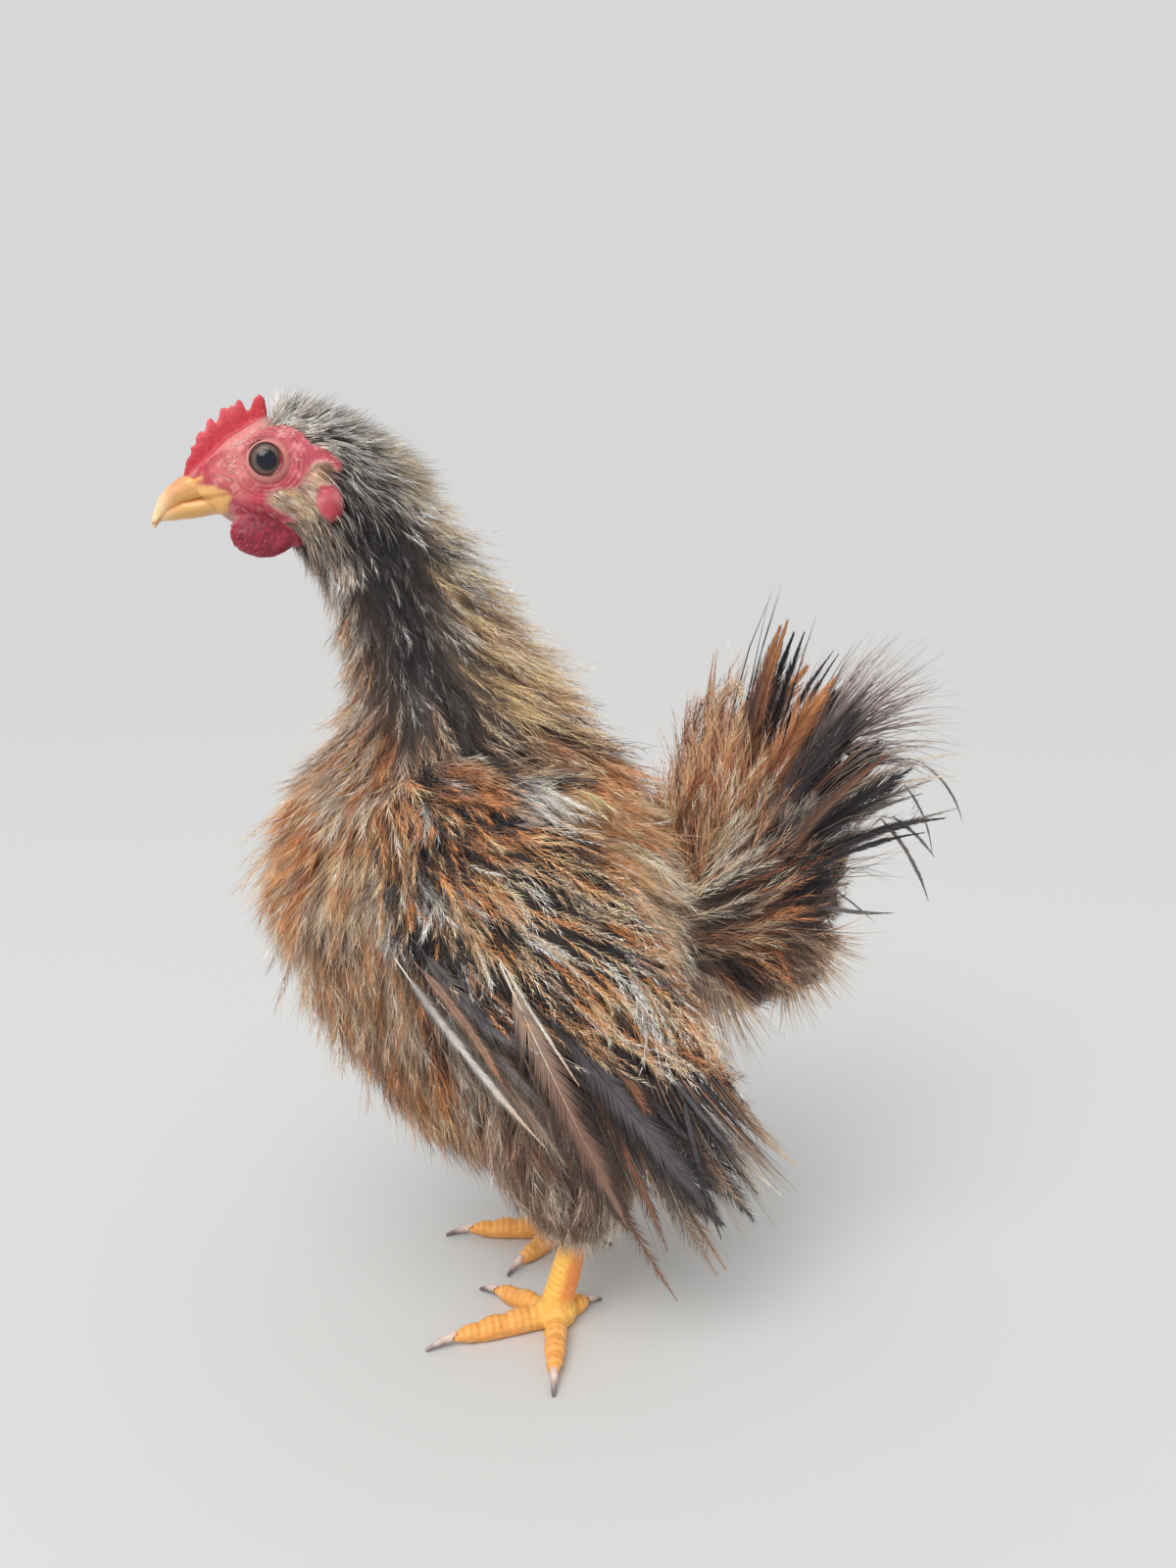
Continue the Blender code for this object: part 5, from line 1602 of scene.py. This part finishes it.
TAIL_FANS = (
    Fan(90, ((56, 5, 146), (70, 7, 150)), ((68, 6, 174), (84, 5, 176), (95, 6, 168), (101, 7, 154)),
        "tail barbs", 0.48, -1.5, 2.4),
    Fan(26, ((66, 6, 146), (74, 8, 142)), ((100, 6, 152), (99, 8, 142), (92, 9, 136)),
        "tail barbs", 0.4, -3, 2),
    Fan(30, ((34, 4, 122), (48, 6, 126)), ((34, 5, 166), (44, 4, 170), (58, 5, 168)),
        "tail hairs", 0.4, -1.5, 2.4),
    Fan(26, ((46, 6, 130), (58, 8, 126)), ((66, 7, 160), (80, 8, 152), (92, 8, 146)), "fan", 0.5, -2, 2),
    Fan(20, ((30, 7, 112), (38, 9, 114)), ((27, 8, 154), (36, 9, 160)), "tail covert", 0.4, -1.5, 2.4),
    Fan(22, ((44, 10, 110), (52, 9, 108)), ((84, 9, 132), (86, 10, 118), (74, 11, 106)),
        "under tail", 0.4, -3, 2.4),
    Fan(200, ((48, 11, 90), (62, 9, 98)), ((46, 12, 71), (60, 12, 76), (70, 10, 85), (74, 8, 97)),
        "buff fringe", 0.36, 0.5, 2.4),
    Fan(110, ((24, 13, 92), (34, 13, 88)), ((28, 14, 60), (37, 15, 62), (44, 14, 71)),
        "pale fluff", 0.36, 0.5, 2.6),
    Fan(3, ((33, 2, 118), (37, 3, 120)), ((47.5, 3, 190), (50, 3, 191)), "tail tips", 0.85, -2, 0.6),
    Fan(2, ((42, 3, 130), (46, 4, 134)), ((58.5, 4, 181), (60, 4, 190)), "tail tips", 0.85, -2, 0.6),
)


def grow_fans(strands, rng, fans, side, splay):
    """Adds the thin strands of frayed feathers on one side."""
    sign = SIDES[side]
    shares = np.linspace(0, 1, 5)
    for fan in fans:
        along = np.sort(rng.random(fan.count))
        roots, tips = np.array(fan.roots, dtype=float), np.array(fan.tips, dtype=float)
        start = roots[0] + (roots[-1] - roots[0]) * along[:, None]
        steps = np.linspace(0, 1, len(tips))
        end = np.stack([np.interp(along, steps, tips[:, axis]) for axis in range(3)], axis=1)
        end = start + (end - start) * rng.uniform(0.72, 1.04, size=(fan.count, 1))
        end = end + rng.normal(0, fan.scatter, size=end.shape) * (1, 0.35, 1)
        start[:, 1] *= sign
        end[:, 1] *= sign * splay
        way = end - start
        up = unit(np.cross(way, np.array((0.0, 1.0, 0.0))))
        up = up * np.where(up[:, 2:] < 0, -1, 1)
        bow = -fan.bow * rng.normal(1, 0.6, size=(fan.count, 1))
        paths = start[:, None] + way[:, None] * shares[None, :, None]
        paths = paths + (up * bow)[:, None] * (4 * shares * (1 - shares))[None, :, None]
        ratio, options = mix_rows(fan.mix)
        colours = options[rng.choice(len(ratio), size=fan.count, p=ratio)]
        tints = along_colours(colours, np.tile(shares, (fan.count, 1)))
        tints = tints * rng.normal(1, 0.15, size=(fan.count, 1, 1)).clip(0.6, 1.4)
        widths = fan.width * rng.uniform(0.6, 1.3, size=(fan.count, 1)) * np.array([[1.0, 0.9, 0.7, 0.4]])
        patches = unwrapped(start, (0, 0, 100), "Y")[:, None] + np.stack(
            [np.zeros(5), shares - 0.5], axis=1)[None] * TUFT_PATCH
        strands.add(paths, up, widths, 0.4, tints, patches)


def grow_quills(name, quills, fans, side, facing, splay, seed):
    """Grows one side's large feathers: a shaft and two close vanes that come apart towards the tip."""
    rng = np.random.default_rng(SEED + seed)
    strands = Strands()
    sign = SIDES[side]
    for number, quill in enumerate(quills):
        root = np.array((quill.root[0], quill.root[1] * sign, quill.root[2]))
        tip = np.array((quill.tip[0], quill.tip[1] * sign * splay, quill.tip[2])) + rng.normal(0, 0.8, 3)
        face = unit(np.array(facing) * np.array((1, sign, 1)) + rng.normal(0, 0.08, 3))
        span = tip - root
        length = np.linalg.norm(span)
        bow = np.cross(face, span / length) * quill.bow * sign
        shares = np.linspace(0, 1, SHAFT_POINTS)
        path = root + span * shares[:, None] + bow * (4 * shares * (1 - shares))[:, None]
        facings = np.repeat(face[None], SHAFT_POINTS, axis=0)
        colour = np.array([[tuple(getattr(plumage(), part)) for part in quill.vane]])
        shaft = np.array([[tuple(getattr(plumage(), quill.shaft))] * 3])
        edge = np.array([tuple(getattr(plumage(), quill.edge))])
        barbs = int(2 * length * (1 - quill.bare) / VANE_BARB_SPACING)
        barb_length = quill.half_width / math.sin(math.radians(VANE_BARB_ANGLE * 0.8))
        column = (number + 0.5) / len(quills)
        plumes(strands, rng, path[None], facings[None], colour, np.array([[column, 0.5]]), barbs, barb_length,
               VANE_BARB_ANGLE, VANE_BARB_WIDTH, shaft_width=0.3 + 0.05 * quill.half_width, fray=0.08,
               curl=0.02, barb_points=2, bare=quill.bare, shaft_colour=shaft, profile=vane_profile, splits=14,
               split_angle=3.0, strips=True, edge=edge, loose_from=quill.loose_from)
    grow_fans(strands, rng, fans, side, splay)
    strands.as_piece(name, feather_material("vane"), "flight_feather")


def add_lamp(name, kind, place, power, colour, spread):
    """A soft light that points at the bird's middle. Spread is the sun's angle or the panel's size."""
    light = bpy.data.lights.new(name, kind)
    light.energy = power
    light.color = colour
    setattr(light, "angle" if kind == "SUN" else "size", spread)
    lamp = bpy.data.objects.new(name, light)
    lamp.location = place
    lamp.rotation_euler = (Vector(LAMP_TARGET) - Vector(place)).to_track_quat("-Z", "Y").to_euler()
    bpy.context.scene.collection.objects.link(lamp)


# Steps

class SERAMA_OT_skin(bpy.types.Operator):
    """Make the skin under the coat, from the comb to the toes"""
    bl_idname = "serama.skin"
    bl_label = "Skin"

    def execute(self, context):
        finished(whole_skin(), "skin_whole", skin_material(), FLESH, skin_tint)
        return {"FINISHED"}


class SERAMA_OT_eyes(bpy.types.Operator):
    """Make both eyeballs"""
    bl_idname = "serama.eyes"
    bl_label = "Eyes"

    def execute(self, context):
        for name, side in SIDES.items():
            form = ball((0, 0, 0), (EYE_RADIUS,) * 3, 64, 48)
            turn = Matrix.Rotation(math.radians(90), 3, "X")
            bmesh.ops.rotate(form, cent=(0, 0, 0), matrix=turn, verts=form.verts)
            bmesh.ops.translate(form, vec=eye_place(side), verts=form.verts)
            finished(form, f"eyeball_{name}", smooth_horn("eye"), (f"eye_{name}",), eye_tint)
        return {"FINISHED"}


class SERAMA_OT_bill(bpy.types.Operator):
    """Make both halves of the bill, closed, with the nostrils' flaps"""
    bl_idname = "serama.bill"
    bl_label = "Bill"

    def execute(self, context):
        for half in ("upper", "lower"):
            form = evened(cad_form((f"bill_{half}",), grow=0.1), 0.2, 4)
            places = places_of(form)
            if half == "lower":
                front = 1 - ramp(places[:, 0], -102, -93)
                places = places + front[:, None] * (-0.8, 0, 0.8)
            swell = np.interp(places[:, 0], (-106, -103, -97, -90, -86), (0.1, 0.35, 0.45, 0.3, 0.0))
            places = places + normals_of(form) * swell[:, None]
            flap = stroke(places, *NOSTRIL_FLAP, 0.8)
            slit = stroke(places, *NOSTRIL_SLIT, 0.3)
            relief = 0.35 * flap - 0.4 * slit + 0.03 * drift(places, 1.5, 14)[:, 0]
            put(form, places + normals_of(form) * relief[:, None])
            finished(form, f"horn_{half}", smooth_horn("horn"), (f"bill_{half}",), horn_tint)
        return {"FINISHED"}


class SERAMA_OT_claws(bpy.types.Operator):
    """Make the eight claws"""
    bl_idname = "serama.claws"
    bl_label = "Claws"

    def execute(self, context):
        for side in SIDES:
            for toe in TOES:
                claw = f"claw_{side}_{toe}"
                form = evened(cad_form((claw,), grow=0.28), 0.18, 3)
                finished(form, f"horn_{side}_{toe}", smooth_horn("horn"), (claw,), claw_tint)
        return {"FINISHED"}


class SERAMA_OT_head_hair(bpy.types.Operator):
    """Grow the short hairs of the crown, cheeks and throat"""
    bl_idname = "serama.head_hair"
    bl_label = "Head hair"

    def execute(self, context):
        grow_head_hair()
        return {"FINISHED"}


class SERAMA_OT_body_coat(bpy.types.Operator):
    """Grow the plumes of the neck, breast, back, belly and thighs"""
    bl_idname = "serama.body_coat"
    bl_label = "Body coat"

    def execute(self, context):
        for number, patch in enumerate(coat_patches()):
            strands = grow_patch(patch, body_surface(), BODY_SPOTS, number + 1)
            strands.as_piece(patch.name, feather_material("contour"), "plumage")
        return {"FINISHED"}


class SERAMA_OT_wings(bpy.types.Operator):
    """Grow each wing's coverts, shoulder and flight feathers"""
    bl_idname = "serama.wings"
    bl_label = "Wings"

    def execute(self, context):
        for number, side in enumerate(SIDES):
            patch = wing_patch(side)
            strands = grow_patch(patch, wing_surface(side), WING_SPOTS, 20 + number)
            strands.as_piece(patch.name, feather_material("contour"), "flight_feather")
            shoulder = shoulder_patch(side)
            strands = grow_patch(shoulder, shoulder_surface(side), BODY_SPOTS + WING_SPOTS, 28 + number)
            strands.as_piece(shoulder.name, feather_material("contour"), "plumage")
            grow_quills(f"quills_wing_{side}", FLIGHT_QUILLS, WING_FANS, side, (0, 1, 0.08), 1.0, 24 + number)
        return {"FINISHED"}


class SERAMA_OT_tail(bpy.types.Operator):
    """Grow the tail's coverts, the fluff under it and its large feathers"""
    bl_idname = "serama.tail"
    bl_label = "Tail"

    def execute(self, context):
        coverts = Patch("coat_tail", 1350, tail_density, (38, 0, 112), "Y", barb_length=5.5, barb_angle=18)
        strands = grow_patch(coverts, tail_surface(), TAIL_SPOTS, 30)
        vent = Patch("vent", 310, lambda p: 1 - ramp(p[:, 2], 96, 108), (38, 0, 112), "Y", barb_length=6.5)
        grow_patch(vent, vent_surface(), TAIL_SPOTS, 31, strands)
        grow_patch(rump_patch(), rump_surface(), BODY_SPOTS + TAIL_SPOTS, 32, strands)
        strands.as_piece(coverts.name, feather_material("contour"), "flight_feather")
        for number, side in enumerate(SIDES):
            quills = [quill for quill in TAIL_QUILLS if side == "left" or quill.bare > 0]
            grow_quills(f"quills_tail_{side}", quills, TAIL_FANS, side, (0.35, 1, 0), 1.25, 34 + number)
        return {"FINISHED"}


class SERAMA_OT_stage(bpy.types.Operator):
    """Set up the pale floor, the soft lights and the photo's camera"""
    bl_idname = "serama.stage"
    bl_label = "Stage"

    def execute(self, context):
        scene = context.scene
        stage = scene.serama_stage
        form = bmesh.new()
        bmesh.ops.create_grid(form, x_segments=1, y_segments=1, size=stage.floor_width / 2)
        floor = as_object(form, "floor")
        material, shader = material_named("floor_paper")
        shader.inputs["Base Color"].default_value = (*stage.floor_colour, 1)
        shader.inputs["Roughness"].default_value = 0.9
        floor.data.materials.append(material)
        world = bpy.data.worlds.new("soft_room")
        scene.world = world
        world.use_nodes = True
        background = world.node_tree.nodes["Background"]
        background.inputs["Color"].default_value = (1.0, 1.0, 1.0, 1)
        background.inputs["Strength"].default_value = stage.room_light
        power = stage.light_strength
        add_lamp("sky_light", "SUN", (-0.5, -0.7, 1.3), power * 0.25, (1.0, 1.0, 1.0), math.radians(50))
        add_lamp("window_light", "AREA", (-0.45, -0.6, 0.75), power * 0.35, (1.0, 0.98, 0.95), 0.45)
        lens = bpy.data.cameras.new("camera")
        lens.sensor_width = 36.0
        lens.lens = FOCAL_LENGTH / PHOTO_HEIGHT * lens.sensor_width
        lens.clip_start = 0.01
        camera = bpy.data.objects.new("camera", lens)
        camera.location = CAMERA_PLACE
        camera.rotation_euler = (math.radians(CAMERA_TILT), 0, math.radians(CAMERA_TURN))
        scene.collection.objects.link(camera)
        scene.camera = camera
        scene.view_settings.view_transform = "Standard"
        return {"FINISHED"}


STEPS = (SERAMA_OT_skin, SERAMA_OT_eyes, SERAMA_OT_bill, SERAMA_OT_claws, SERAMA_OT_head_hair,
         SERAMA_OT_body_coat, SERAMA_OT_wings, SERAMA_OT_tail, SERAMA_OT_stage)


class SERAMA_PT_cockerel(bpy.types.Panel):
    """Settings and steps of the cockerel"""
    bl_idname = "SERAMA_PT_cockerel"
    bl_label = "Serama cockerel"
    bl_space_type = "VIEW_3D"
    bl_region_type = "UI"
    bl_category = "Serama"

    def draw(self, context):
        for group in SETTINGS:
            box = self.layout.box()
            for name in SETTINGS[group].__annotations__:
                box.prop(getattr(context.scene, group), name)
        for step in STEPS:
            self.layout.operator(step.bl_idname)


SETTINGS = {"serama_plumage": SeramaPlumage, "serama_skin": SeramaSkin, "serama_stage": SeramaStage}
CLASSES = (*SETTINGS.values(), *STEPS, SERAMA_PT_cockerel)


def register():
    for item in CLASSES:
        bpy.utils.register_class(item)
    for name, group in SETTINGS.items():
        setattr(bpy.types.Scene, name, PointerProperty(type=group))


def unregister():
    for name in SETTINGS:
        delattr(bpy.types.Scene, name)
    for item in reversed(CLASSES):
        bpy.utils.unregister_class(item)


def main():
    register()
    bpy.ops.serama.skin()
    bpy.ops.serama.eyes()
    bpy.ops.serama.bill()
    bpy.ops.serama.claws()
    bpy.ops.serama.head_hair()
    bpy.ops.serama.body_coat()
    bpy.ops.serama.wings()
    bpy.ops.serama.tail()
    bpy.ops.serama.stage()


if __name__ == "__main__":
    main()
